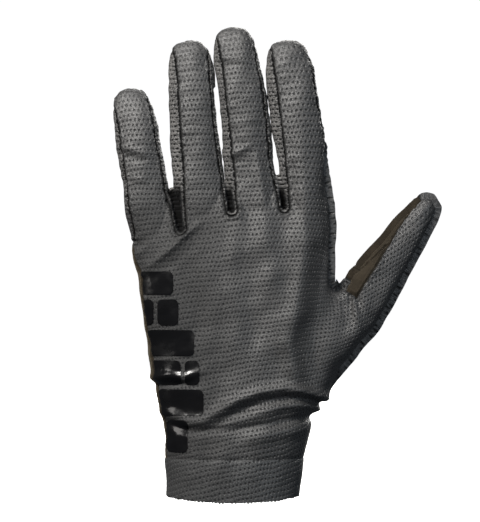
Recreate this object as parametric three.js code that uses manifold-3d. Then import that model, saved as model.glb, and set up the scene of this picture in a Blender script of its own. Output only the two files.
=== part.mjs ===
// Full-finger cycling glove for the left hand, filled out as it is on a hand.
// A mesh back panel, a suede palm panel, mesh fourchettes between the fingers,
// a two-piece suede thumb, a knitted cuff band and a glossy printed block pattern.
//
// Frame: millimetres, +Z up towards the fingertips, the back of the hand
// towards -Y and the thumb towards +X. The origin is the middle of the wrist
// opening, level with the lowest point of the hem.
//
// The hand form is a union of lofted tubes. The same tubes, smaller by the
// cloth's thickness, are taken out of it, and the skin that is left is cut
// into its sewn panels along the seams.

import * as THREE from "three";
import { mergeVertices } from "three/addons/utils/BufferGeometryUtils.js";
import Module from "manifold-3d";

const wasm = await Module();
wasm.setup();

// Driving dimensions, in millimetres and degrees.
const HAND_LENGTH = 153; // hem to the top of the webs between the fingers
const HAND_WIDTH = 100; // across the knuckles
const HAND_DEPTH = 46; // front to back, at the widest part of the cuff
const KNUCKLE_TILT = 8.4; // the knuckle line rises towards the index finger
const FINGER_LENGTH = 88; // of the middle finger, from its root
const FINGER_WIDTH = 24;
const FINGER_DEPTH = 18.8;
const FINGER_CURL = 7; // the fingertips lean to the palm side
const THUMB_LENGTH = 108.8; // from its root inside the heel of the hand
const THUMB_WIDTH = 32; // at the ball of the thumb
const THUMB_DEPTH = 30;
const THUMB_LEAN = 34.4;
const THUMB_LEAD = 12; // the thumb's tip stands to the palm side
const CUFF_HEIGHT = 21;
const HEM_RISE = 2.6; // the hem is this much higher at the two sides
const MESH_WALL = 1.1; // body cloth
const CUFF_WALL = 1.9; // the band is a doubled layer
const CUFF_PROUD = 0.35; // the band stands out from the body cloth
const SEAM_GAP = 0.32; // between two sewn panels
const PRINT_GAP = 0.3; // between the printed film and the cloth
const PRINT_FILM = 0.5;
const FOLD_RISE = 3.0; // highest roll of cloth at the wrist
const FOLD_SPREAD = 4.6; // half the width of such a roll
const FOLD_ZONE = 46; // height of the gathered zone above the cuff

// Each finger: the place of its root, x as a share of HAND_WIDTH and up as a
// share of HAND_LENGTH, its lean from the vertical towards -X in degrees, and
// its length, width and depth as shares of the finger sizes. The seams are
// shares of the half width from its middle line, at its root and at its tip.
const FINGERS = [
  { name: "little", x: -0.393, up: 0.876, lean: 9.3, long: 0.743, wide: 0.9, deep: 0.905 },
  { name: "ring", x: -0.158, up: 0.902, lean: 3.7, long: 0.958, wide: 1.0, deep: 0.98 },
  { name: "middle", x: 0.106, up: 0.9216, lean: 7.1, long: 1.0, wide: 0.995, deep: 1.0 },
  { name: "index", x: 0.368, up: 0.9216, lean: 8.1, long: 0.936, wide: 1.03, deep: 1.0 },
];
const FINGER_SEAMS = [
  { name: "little", leftRoot: 0.86, leftTip: 0.78, rightRoot: 0.84, rightTip: 0.78 },
  { name: "ring", leftRoot: 0.66, leftTip: 0.6, rightRoot: 0.9, rightTip: 0.74 },
  { name: "middle", leftRoot: 0.8, leftTip: 0.6, rightRoot: 0.82, rightTip: 0.84 },
  { name: "index", leftRoot: 0.86, leftTip: 0.56, rightRoot: 1.12, rightTip: 0.76 },
];

// Sections of every finger: along is a share of its length from the root.
const FINGER_SECTIONS = [
  { along: -0.32, wide: 0.66, deep: 0.9 },
  { along: 0.0, wide: 1.0, deep: 1.06 },
  { along: 0.24, wide: 1.0, deep: 1.0 },
  { along: 0.5, wide: 0.97, deep: 0.96 },
  { along: 0.74, wide: 0.93, deep: 0.89 },
  { along: 0.87, wide: 0.86, deep: 0.8 },
  { along: 0.94, wide: 0.72, deep: 0.66 },
  { along: 0.983, wide: 0.48, deep: 0.44 },
  { along: 1.0, wide: 0.22, deep: 0.2 },
];

// The thumb's root, x as a share of HAND_WIDTH and up of HAND_LENGTH, and the
// sections of its tube to its tip. aside moves a section across the thumb, a
// share of its width, and back moves it to the palm side, a share of THUMB_LEAD.
const THUMB_ROOT = { x: 0.37, up: 0.3765 };
const THUMB_SECTIONS = [
  { along: -0.14, wide: 0.8, deep: 0.82, aside: -0.19, back: 0.1 },
  { along: 0.0, wide: 0.93, deep: 1.0, aside: -0.14, back: 0.2 },
  { along: 0.13, wide: 0.97, deep: 1.04, aside: -0.14, back: 0.3 },
  { along: 0.25, wide: 0.98, deep: 1.0, aside: -0.1, back: 0.42 },
  { along: 0.35, wide: 0.95, deep: 0.91, aside: -0.048, back: 0.54 },
  { along: 0.45, wide: 0.88, deep: 0.81, aside: -0.035, back: 0.65 },
  { along: 0.6, wide: 0.77, deep: 0.7, aside: -0.025, back: 0.8 },
  { along: 0.75, wide: 0.65, deep: 0.62, aside: -0.02, back: 0.92 },
  { along: 0.86, wide: 0.56, deep: 0.54, aside: -0.016, back: 0.98 },
  { along: 0.94, wide: 0.46, deep: 0.43, aside: -0.01, back: 1.0 },
  { along: 0.98, wide: 0.33, deep: 0.3, aside: -0.01, back: 1.0 },
  { along: 1.0, wide: 0.15, deep: 0.14, aside: -0.03, back: 1.0 },
];

// Sections of the hand from the hem to the webs: up is a share of HAND_LENGTH,
// middle and half are shares of HAND_WIDTH, thick is half the depth as a share
// of HAND_DEPTH, tilt is the share of KNUCKLE_TILT and round the corner form.
const HAND_SECTIONS = [
  { up: 0.0, middle: -0.004, half: 0.318, thick: 0.5, tilt: 0, round: 2.1 },
  { up: 0.07, middle: 0.0, half: 0.324, thick: 0.495, tilt: 0, round: 2.1 },
  { up: 0.14, middle: 0.008, half: 0.33, thick: 0.485, tilt: 0, round: 2.1 },
  { up: 0.2, middle: 0.016, half: 0.34, thick: 0.468, tilt: 0.02, round: 2.15 },
  { up: 0.27, middle: 0.022, half: 0.362, thick: 0.446, tilt: 0.1, round: 2.2 },
  { up: 0.34, middle: 0.024, half: 0.388, thick: 0.42, tilt: 0.25, round: 2.25 },
  { up: 0.44, middle: 0.026, half: 0.424, thick: 0.39, tilt: 0.5, round: 2.3 },
  { up: 0.54, middle: 0.032, half: 0.446, thick: 0.37, tilt: 0.72, round: 2.35 },
  { up: 0.64, middle: 0.028, half: 0.466, thick: 0.35, tilt: 0.88, round: 2.4 },
  { up: 0.74, middle: 0.018, half: 0.477, thick: 0.322, tilt: 0.97, round: 2.4 },
  { up: 0.83, middle: 0.005, half: 0.492, thick: 0.28, tilt: 1, round: 2.4 },
  { up: 0.9, middle: -0.002, half: 0.475, thick: 0.225, tilt: 1, round: 2.3 },
  { up: 0.96, middle: -0.005, half: 0.44, thick: 0.15, tilt: 1, round: 2.2 },
  { up: 1.0, middle: -0.005, half: 0.39, thick: 0.07, tilt: 1, round: 2.1 },
];

// Rolls and dents of cloth on the back of the wrist and hand, each a line
// from one point to another. x is a share of the wrist's half width and z a
// share of FOLD_ZONE above the cuff. rise and spread are shares of FOLD_RISE and
// FOLD_SPREAD, and a negative rise is a dent.
const FOLDS = [
  { x1: -0.95, z1: 0.5, x2: -0.38, z2: 0.44, rise1: 0.35, rise2: 0.6, spread: 0.75 },
  { x1: -0.38, z1: 0.44, x2: 0.16, z2: 0.69, rise1: 0.6, rise2: 0.6, spread: 0.8 },
  { x1: 0.16, z1: 0.69, x2: 1.0, z2: 0.86, rise1: 0.6, rise2: 0.2, spread: 1.0 },
  { x1: -0.25, z1: 0.36, x2: 0.45, z2: 0.58, rise1: -0.3, rise2: -0.5, spread: 0.6 },
  { x1: 0.45, z1: 0.58, x2: 1.45, z2: 0.63, rise1: -0.45, rise2: -0.75, spread: 0.55 },
  { x1: 0.05, z1: 0.47, x2: 1.3, z2: 0.5, rise1: 0.2, rise2: 0.95, spread: 0.72 },
  { x1: 0.1, z1: 0.33, x2: 1.2, z2: 0.37, rise1: -0.25, rise2: -0.55, spread: 0.5 },
  { x1: 0.0, z1: 0.24, x2: 1.05, z2: 0.26, rise1: 0.12, rise2: 0.3, spread: 0.7 },
  { x1: -1.3, z1: 2.06, x2: -0.42, z2: 2.5, rise1: 0.35, rise2: 0.3, spread: 0.7 },
];

// The seam between the back and the palm panel: side is its place in depth, a
// share of HAND_DEPTH, on the little finger's side (left) and the thumb's side
// (right), at up, a share of HAND_LENGTH.
const SIDE_SEAM = [
  { up: 0.1, left: -0.08, right: 0.16 },
  { up: 0.3, left: -0.15, right: 0.2 },
  { up: 0.55, left: -0.17, right: 0.24 },
  { up: 0.74, left: -0.15, right: 0.18 },
  { up: 0.84, left: 0.0, right: 0.1 },
  { up: 0.95, left: 0.05, right: 0.07 },
  { up: 1.2, left: 0.09, right: 0.09 },
  { up: 1.36, left: 0.2, right: 0.19 },
  { up: 1.56, left: 0.24, right: 0.24 },
];

// The bottom of the U-shaped seam at each web: above is its centre's height
// over the mean of the two finger roots, as a share of FINGER_WIDTH.
const WEBS = [
  { left: "little", right: "ring", above: -0.225 },
  { left: "ring", right: "middle", above: 0.01 },
  { left: "middle", right: "index", above: 0.02 },
];
const SEAM_SHEAR = 0.14; // finger seams drift to -X towards the palm side

// The strips outside the hand's first and last finger: side is -1 on the left,
// and up is the lower end, a share of HAND_LENGTH.
const OUTER_STRIPS = [
  { name: "little", side: -1, up: 0.817 },
  { name: "index", side: 1, up: 0.93 },
];

// The thumb's own suede lies inside this outline, seen from the back of the
// hand: along is a share of the thumb's length and across of its width.
const THUMB_ZONE = [
  { along: 0.43, across: -0.41 },
  { along: 0.43, across: 2.0 },
  { along: 1.6, across: 2.0 },
  { along: 1.6, across: -1.2 },
  { along: 0.97, across: -0.83 },
  { along: 0.68, across: -0.634 },
  { along: 0.49, across: -0.475 },
];

// The seam between the thumb's mesh and its suede, on the thumb's mid-depth.
const THUMB_SEAM = [
  { along: 0.3, across: 0.22 },
  { along: 0.5, across: 0.17 },
  { along: 0.6, across: 0.12 },
  { along: 0.7, across: 0.02 },
  { along: 0.8, across: -0.1 },
  { along: 1.1, across: -0.34 },
];
const THUMB_SEAM_SLOPE = 1.0; // depth gained for each millimetre across
const GUSSET = { nearAlong: 0.54, nearAcross: -0.43, farAlong: 0.69, farAcross: -0.27 };

// Printed blocks beside the little finger's seam, in rows from the top. left
// and right are shares of HAND_WIDTH from the middle, and top and bottom are
// shares of HAND_LENGTH. A split row has its gap at that share of its width.
const PRINT_SPACE = 2.0; // between the two blocks of a split row
const PRINT_CORNER = 2.2;
const PRINT_ROWS = [
  { left: -0.445, right: -0.285, top: 0.722, bottom: 0.65, split: 0 },
  { left: -0.43, right: -0.26, top: 0.635, bottom: 0.555, split: 0.36 },
  { left: -0.41, right: -0.185, top: 0.54, bottom: 0.46, split: 0 },
  { left: -0.39, right: -0.16, top: 0.445, bottom: 0.37, split: 0.66 },
  { left: -0.355, right: -0.14, top: 0.355, bottom: 0.275, split: 0 },
  { left: -0.315, right: -0.215, top: 0.26, bottom: 0.16, split: 0 },
];

// Fineness of the facets.
const HAND_SIDES = 32;
const BACK_DENSITY = 0.35; // draws the hand's columns towards its back
const FINGER_SIDES = 12;
const THUMB_SIDES = 14;
const RING_STEP = 12; // between rings of the plain part of the hand
const LEAST_RING_STEP = 3; // between the closing rings at the webs
const FOLD_RING_STEP = 3.6; // between rings where the cloth is gathered
const CUT_REACH = 70; // cutting solids pass this far beyond the cloth
const END_REACH = 6; // an inner tube passes an open end by this much

const radians = THREE.MathUtils.degToRad;

// A digit's sizes in millimetres, from its row of shares.
function fingerOf(name) {
  const row = FINGERS.find((finger) => finger.name === name);
  return {
    rootX: row.x * HAND_WIDTH,
    rootZ: row.up * HAND_LENGTH,
    lean: row.lean,
    length: row.long * FINGER_LENGTH,
    width: row.wide * FINGER_WIDTH,
    depth: row.deep * FINGER_DEPTH,
    ...FINGER_SEAMS.find((seams) => seams.name === name),
  };
}

const THUMB = {
  rootX: THUMB_ROOT.x * HAND_WIDTH,
  rootZ: THUMB_ROOT.up * HAND_LENGTH,
  lean: -THUMB_LEAN,
  length: THUMB_LENGTH,
  width: THUMB_WIDTH,
  depth: THUMB_DEPTH,
};

// Reads a column of a table at a place along it, smoothly between its rows.
function readTable(table, key, column, place) {
  const last = table.length - 1;
  if (place <= table[0][key]) return table[0][column];
  if (place >= table[last][key]) return table[last][column];
  const i = table.findIndex((row) => row[key] > place) - 1;
  const [a, b] = [table[i], table[i + 1]];
  const before = table[Math.max(i - 1, 0)];
  const after = table[Math.min(i + 2, last)];
  const width = b[key] - a[key];
  const slope1 = ((b[column] - before[column]) / (b[key] - before[key])) * width;
  const slope2 = ((after[column] - a[column]) / (after[key] - a[key])) * width;
  const s = (place - a[key]) / width;
  const [s2, s3] = [s * s, s * s * s];
  return (
    (2 * s3 - 3 * s2 + 1) * a[column] +
    (s3 - 2 * s2 + s) * slope1 +
    (3 * s2 - 2 * s3) * b[column] +
    (s3 - s2) * slope2
  );
}

// How far the cloth is pushed out at a point of the back of the hand. facing
// is 1 on the back, 0 at the sides and -1 on the palm.
function foldPush(x, z, facing) {
  const weight = THREE.MathUtils.smoothstep(facing, -0.75, 0.1);
  if (weight === 0) return 0;
  const wristHalf = 0.34 * HAND_WIDTH;
  let push = 0;
  for (const fold of FOLDS) {
    const from = new THREE.Vector2(fold.x1 * wristHalf, CUFF_HEIGHT + fold.z1 * FOLD_ZONE);
    const to = new THREE.Vector2(fold.x2 * wristHalf, CUFF_HEIGHT + fold.z2 * FOLD_ZONE);
    const run = to.clone().sub(from);
    const place = new THREE.Vector2(x, z).sub(from);
    const share = THREE.MathUtils.clamp(place.dot(run) / run.lengthSq(), 0, 1);
    const away = place.sub(run.multiplyScalar(share)).length();
    const near = Math.exp(-((away / (fold.spread * FOLD_SPREAD)) ** 2));
    push += FOLD_RISE * THREE.MathUtils.lerp(fold.rise1, fold.rise2, share) * near;
  }
  return push * weight;
}

// A point of a rounded section: round 2 is an ellipse, and more is squarer.
function sectionPoint(angle, halfWidth, halfDepth, round) {
  const [c, s] = [Math.cos(angle), Math.sin(angle)];
  const power = 2 / round;
  return [
    Math.sign(c) * Math.abs(c) ** power * halfWidth,
    Math.sign(s) * Math.abs(s) ** power * halfDepth,
  ];
}

// A closed geometry as a solid for joining and cutting.
function toSolid(geometry) {
  const bare = geometry.clone();
  bare.deleteAttribute("normal");
  bare.deleteAttribute("uv");
  const merged = mergeVertices(bare, 1e-4);
  const solid = new wasm.Manifold(
    new wasm.Mesh({
      numProp: 3,
      vertProperties: merged.attributes.position.array,
      triVerts: new Uint32Array(merged.index.array),
    }),
  );
  return solid;
}

// A solid as a geometry for a mesh.
function toGeometry(solid) {
  const mesh = solid.getMesh();
  const points = new Float32Array(mesh.numVert * 3);
  for (let i = 0; i < mesh.numVert; i++) {
    points.set(mesh.vertProperties.subarray(i * mesh.numProp, i * mesh.numProp + 3), i * 3);
  }
  const geometry = new THREE.BufferGeometry();
  geometry.setAttribute("position", new THREE.BufferAttribute(points, 3));
  geometry.setIndex(new THREE.BufferAttribute(new Uint32Array(mesh.triVerts), 1));
  geometry.computeVertexNormals();
  return geometry;
}

// A closed tube with one ring of points for each place. pointAt gives the
// point of the skin at a place and an angle round it.
function tube(places, sides, pointAt) {
  const geometry = new THREE.CylinderGeometry(1, 1, 1, sides, places.length - 1);
  const position = geometry.attributes.position;
  const centres = places.map((place) => {
    const middle = pointAt(place, 0).add(pointAt(place, Math.PI));
    return middle.multiplyScalar(0.5);
  });
  for (let i = 0; i < position.count; i++) {
    const [x, y, z] = [position.getX(i), position.getY(i), position.getZ(i)];
    const ring = Math.round((y + 0.5) * (places.length - 1));
    const onAxis = Math.hypot(x, z) < 0.5;
    const point = onAxis ? centres[ring] : pointAt(places[ring], Math.atan2(-z, x));
    position.setXYZ(i, point.x, point.y, point.z);
  }
  return toSolid(geometry);
}

// A point of the hand's tube at a height, smaller than the outside by inset.
// turn goes round the section evenly, and more of it is spent on the back.
function handPoint(height, turn, inset) {
  const angle = turn - BACK_DENSITY * Math.cos(turn);
  const up = THREE.MathUtils.clamp(height / (HAND_LENGTH - inset), 0, 1);
  const read = (column) => readTable(HAND_SECTIONS, "up", column, up);
  const halfWidth = read("half") * HAND_WIDTH - inset;
  const halfDepth = read("thick") * HAND_DEPTH - inset;
  let [x, y] = sectionPoint(angle, halfWidth, halfDepth, read("round"));
  const hem = HEM_RISE * (x / halfWidth) ** 2 * Math.max(0, 1 - height / CUFF_HEIGHT);
  x += read("middle") * HAND_WIDTH;
  const z = height + hem + x * Math.tan(radians(KNUCKLE_TILT)) * read("tilt");
  const push = foldPush(x, z, -Math.sin(angle));
  return new THREE.Vector3(x + push * Math.cos(angle), y + push * Math.sin(angle), z);
}

// The directions of a digit: up its length, and across it towards +X.
function digitAxes(digit) {
  const lean = radians(digit.lean);
  return {
    along: new THREE.Vector3(-Math.sin(lean), 0, Math.cos(lean)),
    across: new THREE.Vector3(Math.cos(lean), 0, Math.sin(lean)),
  };
}

// The place of a point given along a digit's length and across its middle line.
function digitPlace(digit, along, across) {
  const axes = digitAxes(digit);
  return new THREE.Vector3(digit.rootX, 0, digit.rootZ)
    .addScaledVector(axes.along, along)
    .addScaledVector(axes.across, across);
}

function fingerPoint(finger, place, angle, inset) {
  const read = (column) => readTable(FINGER_SECTIONS, "along", column, place);
  const ease = Math.min(read("wide") / 0.5, 1); // the wall stays whole at the tip
  const [s, y] = sectionPoint(
    angle,
    (read("wide") * finger.width) / 2 - inset * ease,
    (read("deep") * finger.depth) / 2 - inset * ease,
    2.3,
  );
  const point = digitPlace(finger, place * (finger.length - inset), s);
  point.y = y + FINGER_CURL * Math.max(place, 0) ** 2;
  return point;
}

function thumbPoint(place, angle, inset) {
  const read = (column) => readTable(THUMB_SECTIONS, "along", column, place);
  const ease = Math.min(read("wide") / 0.4, 1);
  const [s, y] = sectionPoint(
    angle,
    (read("wide") * THUMB.width) / 2 - inset * ease,
    (read("deep") * THUMB.depth) / 2 - inset * ease,
    2.2,
  );
  const point = digitPlace(
    THUMB,
    place * (THUMB.length - inset),
    s + read("aside") * THUMB.width,
  );
  point.y = y + THUMB_LEAD * read("back");
  const push = foldPush(point.x, point.z, -Math.sin(angle));
  const across = digitAxes(THUMB).across;
  point.addScaledVector(across, push * Math.cos(angle));
  point.y += push * Math.sin(angle);
  return point;
}

// Heights of the hand's rings, close together where the cloth is gathered.
function handHeights(from, to) {
  const heights = [from];
  const foldTop = CUFF_HEIGHT + FOLD_ZONE;
  while (heights.at(-1) < to) {
    const here = heights.at(-1);
    const rest = HAND_LENGTH - here;
    const widest = THREE.MathUtils.clamp(rest / 3.2, LEAST_RING_STEP, RING_STEP);
    const step = here < foldTop ? FOLD_RING_STEP : widest;
    heights.push(Math.min(here + step, to));
  }
  return heights;
}

// The hand form without its cuff, smaller than the outside by inset. open
// carries the hand's tube below its lower edge.
function handForm(inset, open) {
  const lower = CUFF_HEIGHT + SEAM_GAP;
  const heights = handHeights(lower, HAND_LENGTH - inset);
  if (open) heights.unshift(lower - END_REACH);
  let form = tube(heights, HAND_SIDES, (h, a) => handPoint(h, a, inset));
  for (const { name } of FINGERS) {
    const finger = fingerOf(name);
    const places = FINGER_SECTIONS.map((row) => row.along);
    form = form.add(tube(places, FINGER_SIDES, (p, a) => fingerPoint(finger, p, a, inset)));
  }
  const places = THUMB_SECTIONS.map((row) => row.along);
  return form.add(tube(places, THUMB_SIDES, (p, a) => thumbPoint(p, a, inset)));
}

// A prism through the whole glove whose outline, seen from the back of the
// hand, is a list of [x, z] points. It drifts across by shear for each
// millimetre of depth.
function prism(outline, shear = 0) {
  const shape = new THREE.Shape(outline.map(([x, z]) => new THREE.Vector2(x, z)));
  const geometry = new THREE.ExtrudeGeometry(shape, {
    depth: 2 * CUT_REACH,
    bevelEnabled: false,
    steps: 1,
  });
  geometry.translate(0, 0, -CUT_REACH);
  geometry.rotateX(Math.PI / 2); // the outline's second axis becomes height
  const position = geometry.attributes.position;
  for (let i = 0; i < position.count; i++) {
    position.setX(i, position.getX(i) - shear * position.getY(i));
  }
  return toSolid(geometry);
}

// A finger's seam seen from the back of the hand. side is -1 on the left and
// 1 on the right, and apart moves it away from the finger's middle line.
function seamPlace(finger, side, place, apart) {
  const name = side < 0 ? "left" : "right";
  const share = THREE.MathUtils.lerp(finger[name + "Root"], finger[name + "Tip"], place);
  const across = side * ((share * finger.width) / 2 + apart);
  const point = digitPlace(finger, place * finger.length, across);
  return [point.x, point.z];
}

// The place along a finger's seam that has a given height.
function seamAtHeight(finger, side, height, apart) {
  const [, low] = seamPlace(finger, side, 0, apart);
  const [, high] = seamPlace(finger, side, 1, apart);
  return seamPlace(finger, side, (height - low) / (high - low), apart);
}

// The U-shaped cutting solid of a fourchette. grow widens it all round.
function fourchetteRegion(web, grow) {
  const [left, right] = [fingerOf(web.left), fingerOf(web.right)];
  const height = (left.rootZ + right.rootZ) / 2 + web.above * FINGER_WIDTH;
  const above = 1.2; // carries the cut clear of the fingertips
  const start = seamAtHeight(left, 1, height, -grow);
  const end = seamAtHeight(right, -1, height, -grow);
  const centre = new THREE.Vector2((start[0] + end[0]) / 2, (start[1] + end[1]) / 2);
  const radius = Math.hypot(end[0] - start[0], end[1] - start[1]) / 2;
  const outline = [seamPlace(left, 1, above, -grow), start];
  const steps = 8;
  for (let i = 1; i < steps; i++) {
    const angle = Math.PI + (Math.PI * i) / steps;
    outline.push([centre.x + radius * Math.cos(angle), centre.y + radius * Math.sin(angle)]);
  }
  outline.push(end, seamPlace(right, -1, above, -grow));
  return prism(outline, SEAM_SHEAR);
}

// The cutting solid of the strip on the outside of a finger, from lowest up.
function outerStripRegion(finger, side, lowest, grow) {
  const bottom = lowest - grow;
  const beside = finger.width * 0.7; // clear of the finger, short of the thumb
  const outline = [
    seamAtHeight(finger, side, bottom, beside),
    seamAtHeight(finger, side, bottom, -grow),
    seamPlace(finger, side, 1.2, -grow),
    seamPlace(finger, side, 1.2, beside),
  ];
  return prism(side < 0 ? outline : outline.reverse(), SEAM_SHEAR * side * -0.5);
}

// A block that fills the palm side of a surface. depthAt gives the surface's
// depth at a pair of coordinates, and place turns them and a depth to a point.
function palmSideBlock(firsts, seconds, depthAt, place) {
  const [columns, rows] = [firsts.length - 1, seconds.length - 1];
  const geometry = new THREE.BoxGeometry(1, 1, 1, columns, rows, 1);
  const position = geometry.attributes.position;
  for (let i = 0; i < position.count; i++) {
    const first = firsts[Math.round((position.getX(i) + 0.5) * columns)];
    const second = seconds[Math.round((position.getY(i) + 0.5) * rows)];
    const depth = position.getZ(i) > 0 ? depthAt(first, second) : CUT_REACH;
    const point = place(first, second, depth);
    position.setXYZ(i, point.x, point.y, point.z);
  }
  return toSolid(geometry);
}

// The palm side of the hand's side seams, moved by shift in depth.
function palmBlock(shift) {
  const firsts = [-1.2, -0.3, 0, 0.3, 0.55, 1.2].map((share) => share * HAND_WIDTH);
  const seconds = SIDE_SEAM.map((row) => row.up * HAND_LENGTH);
  const depthAt = (x, z) => {
    const read = (side) => readTable(SIDE_SEAM, "up", side, z / HAND_LENGTH);
    const share = THREE.MathUtils.smoothstep(x, -0.3 * HAND_WIDTH, 0.3 * HAND_WIDTH);
    return THREE.MathUtils.lerp(read("left"), read("right"), share) * HAND_DEPTH + shift;
  };
  return palmSideBlock(firsts, seconds, depthAt, (x, z, y) => new THREE.Vector3(x, y, z));
}

// The palm side of the thumb's own seam, moved by shift in depth.
function thumbBlock(shift) {
  const firsts = [-1.6, 0, 1.6].map((share) => share * THUMB.width);
  const seconds = THUMB_SEAM.map((row) => row.along);
  const depthAt = (across, along) => {
    const seam = readTable(THUMB_SEAM, "along", "across", along) * THUMB.width;
    const lead = readTable(THUMB_SECTIONS, "along", "back", along) * THUMB_LEAD;
    return lead + (across - seam) * THUMB_SEAM_SLOPE + shift;
  };
  const place = (across, along, depth) => {
    const point = digitPlace(THUMB, along * THUMB.length, across);
    point.y = depth;
    return point;
  };
  return palmSideBlock(firsts, seconds, depthAt, place);
}

// The part of the thumb beyond its base seam and the web, as a prism. grow
// moves the base seam and the web's side outwards.
function thumbZone(grow) {
  const outline = THUMB_ZONE.map(({ along, across }) => {
    const back = along < 1 ? grow : 0;
    const aside = across < 0 ? grow : 0;
    const point = digitPlace(THUMB, along * THUMB.length - back, across * THUMB.width - aside);
    return [point.x, point.z];
  });
  return prism(outline);
}

// The lower piece of the thumb's suede, as a prism. grow widens it.
function gussetZone(grow) {
  const corner = (along, across) => {
    const point = digitPlace(THUMB, along, across);
    return [point.x, point.z];
  };
  const width = THUMB.width;
  const near = [GUSSET.nearAlong * THUMB.length, GUSSET.nearAcross * width];
  const far = [GUSSET.farAlong * THUMB.length, GUSSET.farAcross * width];
  const run = new THREE.Vector2(far[0] - near[0], far[1] - near[1]).normalize();
  const side = [run.y * grow, -run.x * grow]; // towards the upper piece
  const bottom = -0.2 * THUMB.length;
  const back = (near[0] - bottom) / run.x;
  return prism([
    corner(bottom, near[1] - back * run.y + side[1]),
    corner(bottom, 2 * width),
    corner(far[0] + grow, 2 * width),
    corner(far[0] + grow, far[1] + side[1]),
  ]);
}

// The cuff band: a loft of its own, a little proud of the body.
function cuffBand() {
  const ringAt = (h, a, inset) => handPoint(h, a, inset);
  const outside = [0, 0.5, 1].map((share) => share * CUFF_HEIGHT);
  const outer = tube(outside, HAND_SIDES, (h, a) => ringAt(h, a, -CUFF_PROUD));
  const inset = CUFF_WALL - CUFF_PROUD;
  const inside = [-END_REACH, ...outside, CUFF_HEIGHT + END_REACH];
  const inner = tube(inside, HAND_SIDES, (h, a) => {
    const point = ringAt(THREE.MathUtils.clamp(h, 0, CUFF_HEIGHT), a, inset);
    point.z += h - THREE.MathUtils.clamp(h, 0, CUFF_HEIGHT);
    return point;
  });
  return outer.subtract(inner);
}

// A rounded rectangle as an outline of [x, z] points, counterclockwise.
function blockOutline(left, bottom, width, height, corner) {
  const shape = new THREE.Shape();
  const [right, top] = [left + width, bottom + height];
  shape.moveTo(left + corner, bottom);
  shape.lineTo(right - corner, bottom);
  shape.absarc(right - corner, bottom + corner, corner, -Math.PI / 2, 0);
  shape.lineTo(right, top - corner);
  shape.absarc(right - corner, top - corner, corner, 0, Math.PI / 2);
  shape.lineTo(left + corner, top);
  shape.absarc(left + corner, top - corner, corner, Math.PI / 2, Math.PI);
  shape.lineTo(left, bottom + corner);
  shape.absarc(left + corner, bottom + corner, corner, Math.PI, Math.PI * 1.5);
  return shape.getPoints(2).slice(0, -1).map((point) => [point.x, point.y]);
}

// The printed film over the back of the hand, cut into its blocks.
function printBlocks() {
  const heights = handHeights(CUFF_HEIGHT + SEAM_GAP, PRINT_ROWS[0].top * HAND_LENGTH * 1.15);
  const layer = (grow) => tube(heights, HAND_SIDES, (h, a) => handPoint(h, a, -grow));
  const film = layer(PRINT_GAP + PRINT_FILM).subtract(layer(PRINT_GAP));
  const front = toSolid(
    new THREE.BoxGeometry(6 * CUT_REACH, CUT_REACH, 6 * CUT_REACH).translate(0, -CUT_REACH / 2, 0),
  );
  const sheet = film.intersect(front);
  const blocks = [];
  for (const row of PRINT_ROWS) {
    const [bottom, top] = [row.bottom * HAND_LENGTH, row.top * HAND_LENGTH];
    const [left, right] = [row.left * HAND_WIDTH, row.right * HAND_WIDTH];
    const cut = left + row.split * (right - left);
    const spans = [[left, right]];
    if (row.split > 0) {
      spans[0] = [left, cut - PRINT_SPACE / 2];
      spans.push([cut + PRINT_SPACE / 2, right]);
    }
    for (const [from, to] of spans) {
      const outline = blockOutline(from, bottom, to - from, top - bottom, PRINT_CORNER);
      blocks.push(sheet.intersect(prism(outline)));
    }
  }
  return blocks;
}

const MATERIALS = {
  mesh: new THREE.MeshStandardMaterial({ color: 0x4c4c4b, roughness: 0.62, metalness: 0 }),
  gusset: new THREE.MeshStandardMaterial({ color: 0x3a3a3a, roughness: 0.7, metalness: 0 }),
  suede: new THREE.MeshStandardMaterial({ color: 0x4a4238, roughness: 0.92, metalness: 0 }),
  cuff: new THREE.MeshStandardMaterial({ color: 0x474948, roughness: 0.66, metalness: 0 }),
  print: new THREE.MeshStandardMaterial({ color: 0x0d0d0d, roughness: 0.16, metalness: 0 }),
};

const glove = new THREE.Group();

function addPiece(name, solid, material) {
  const mesh = new THREE.Mesh(toGeometry(solid), material);
  mesh.name = name;
  glove.add(mesh);
}

// The skin of the hand, open at the wrist.
const skin = handForm(0, false).subtract(handForm(MESH_WALL, true));

// Fourchettes and the two outer strips come out of the skin first.
let body = skin;
for (const web of WEBS) {
  const name = `${web.left}_${web.right}_fourchette`;
  addPiece(name, skin.intersect(fourchetteRegion(web, 0)), MATERIALS.gusset);
  body = body.subtract(fourchetteRegion(web, SEAM_GAP));
}
for (const { name, side, up } of OUTER_STRIPS) {
  const region = (grow) => outerStripRegion(fingerOf(name), side, up * HAND_LENGTH, grow);
  addPiece(`${name}_outer_strip`, skin.intersect(region(0)), MATERIALS.gusset);
  body = body.subtract(region(SEAM_GAP));
}

// What is left divides into back and palm, and the thumb has seams of its own.
const beyond = thumbZone(0);
const beyondGap = thumbZone(SEAM_GAP);
const palmSkin = body.intersect(palmBlock(0)).subtract(beyondGap);
const thumbSuede = body.intersect(thumbBlock(0)).intersect(beyond);
const mainCut = palmBlock(-SEAM_GAP).subtract(beyond);
const thumbCut = thumbBlock(-SEAM_GAP).intersect(beyondGap);
addPiece("back_panel", body.subtract(mainCut).subtract(thumbCut), MATERIALS.mesh);
addPiece("palm_panel", palmSkin, MATERIALS.suede);
addPiece("thumb_web_gusset", thumbSuede.intersect(gussetZone(0)), MATERIALS.suede);
addPiece("thumb_front", thumbSuede.subtract(gussetZone(SEAM_GAP)), MATERIALS.suede);
addPiece("cuff_band", cuffBand(), MATERIALS.cuff);
printBlocks().forEach((block, i) => addPiece(`print_block_${i + 1}`, block, MATERIALS.print));

export default glove;
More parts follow.
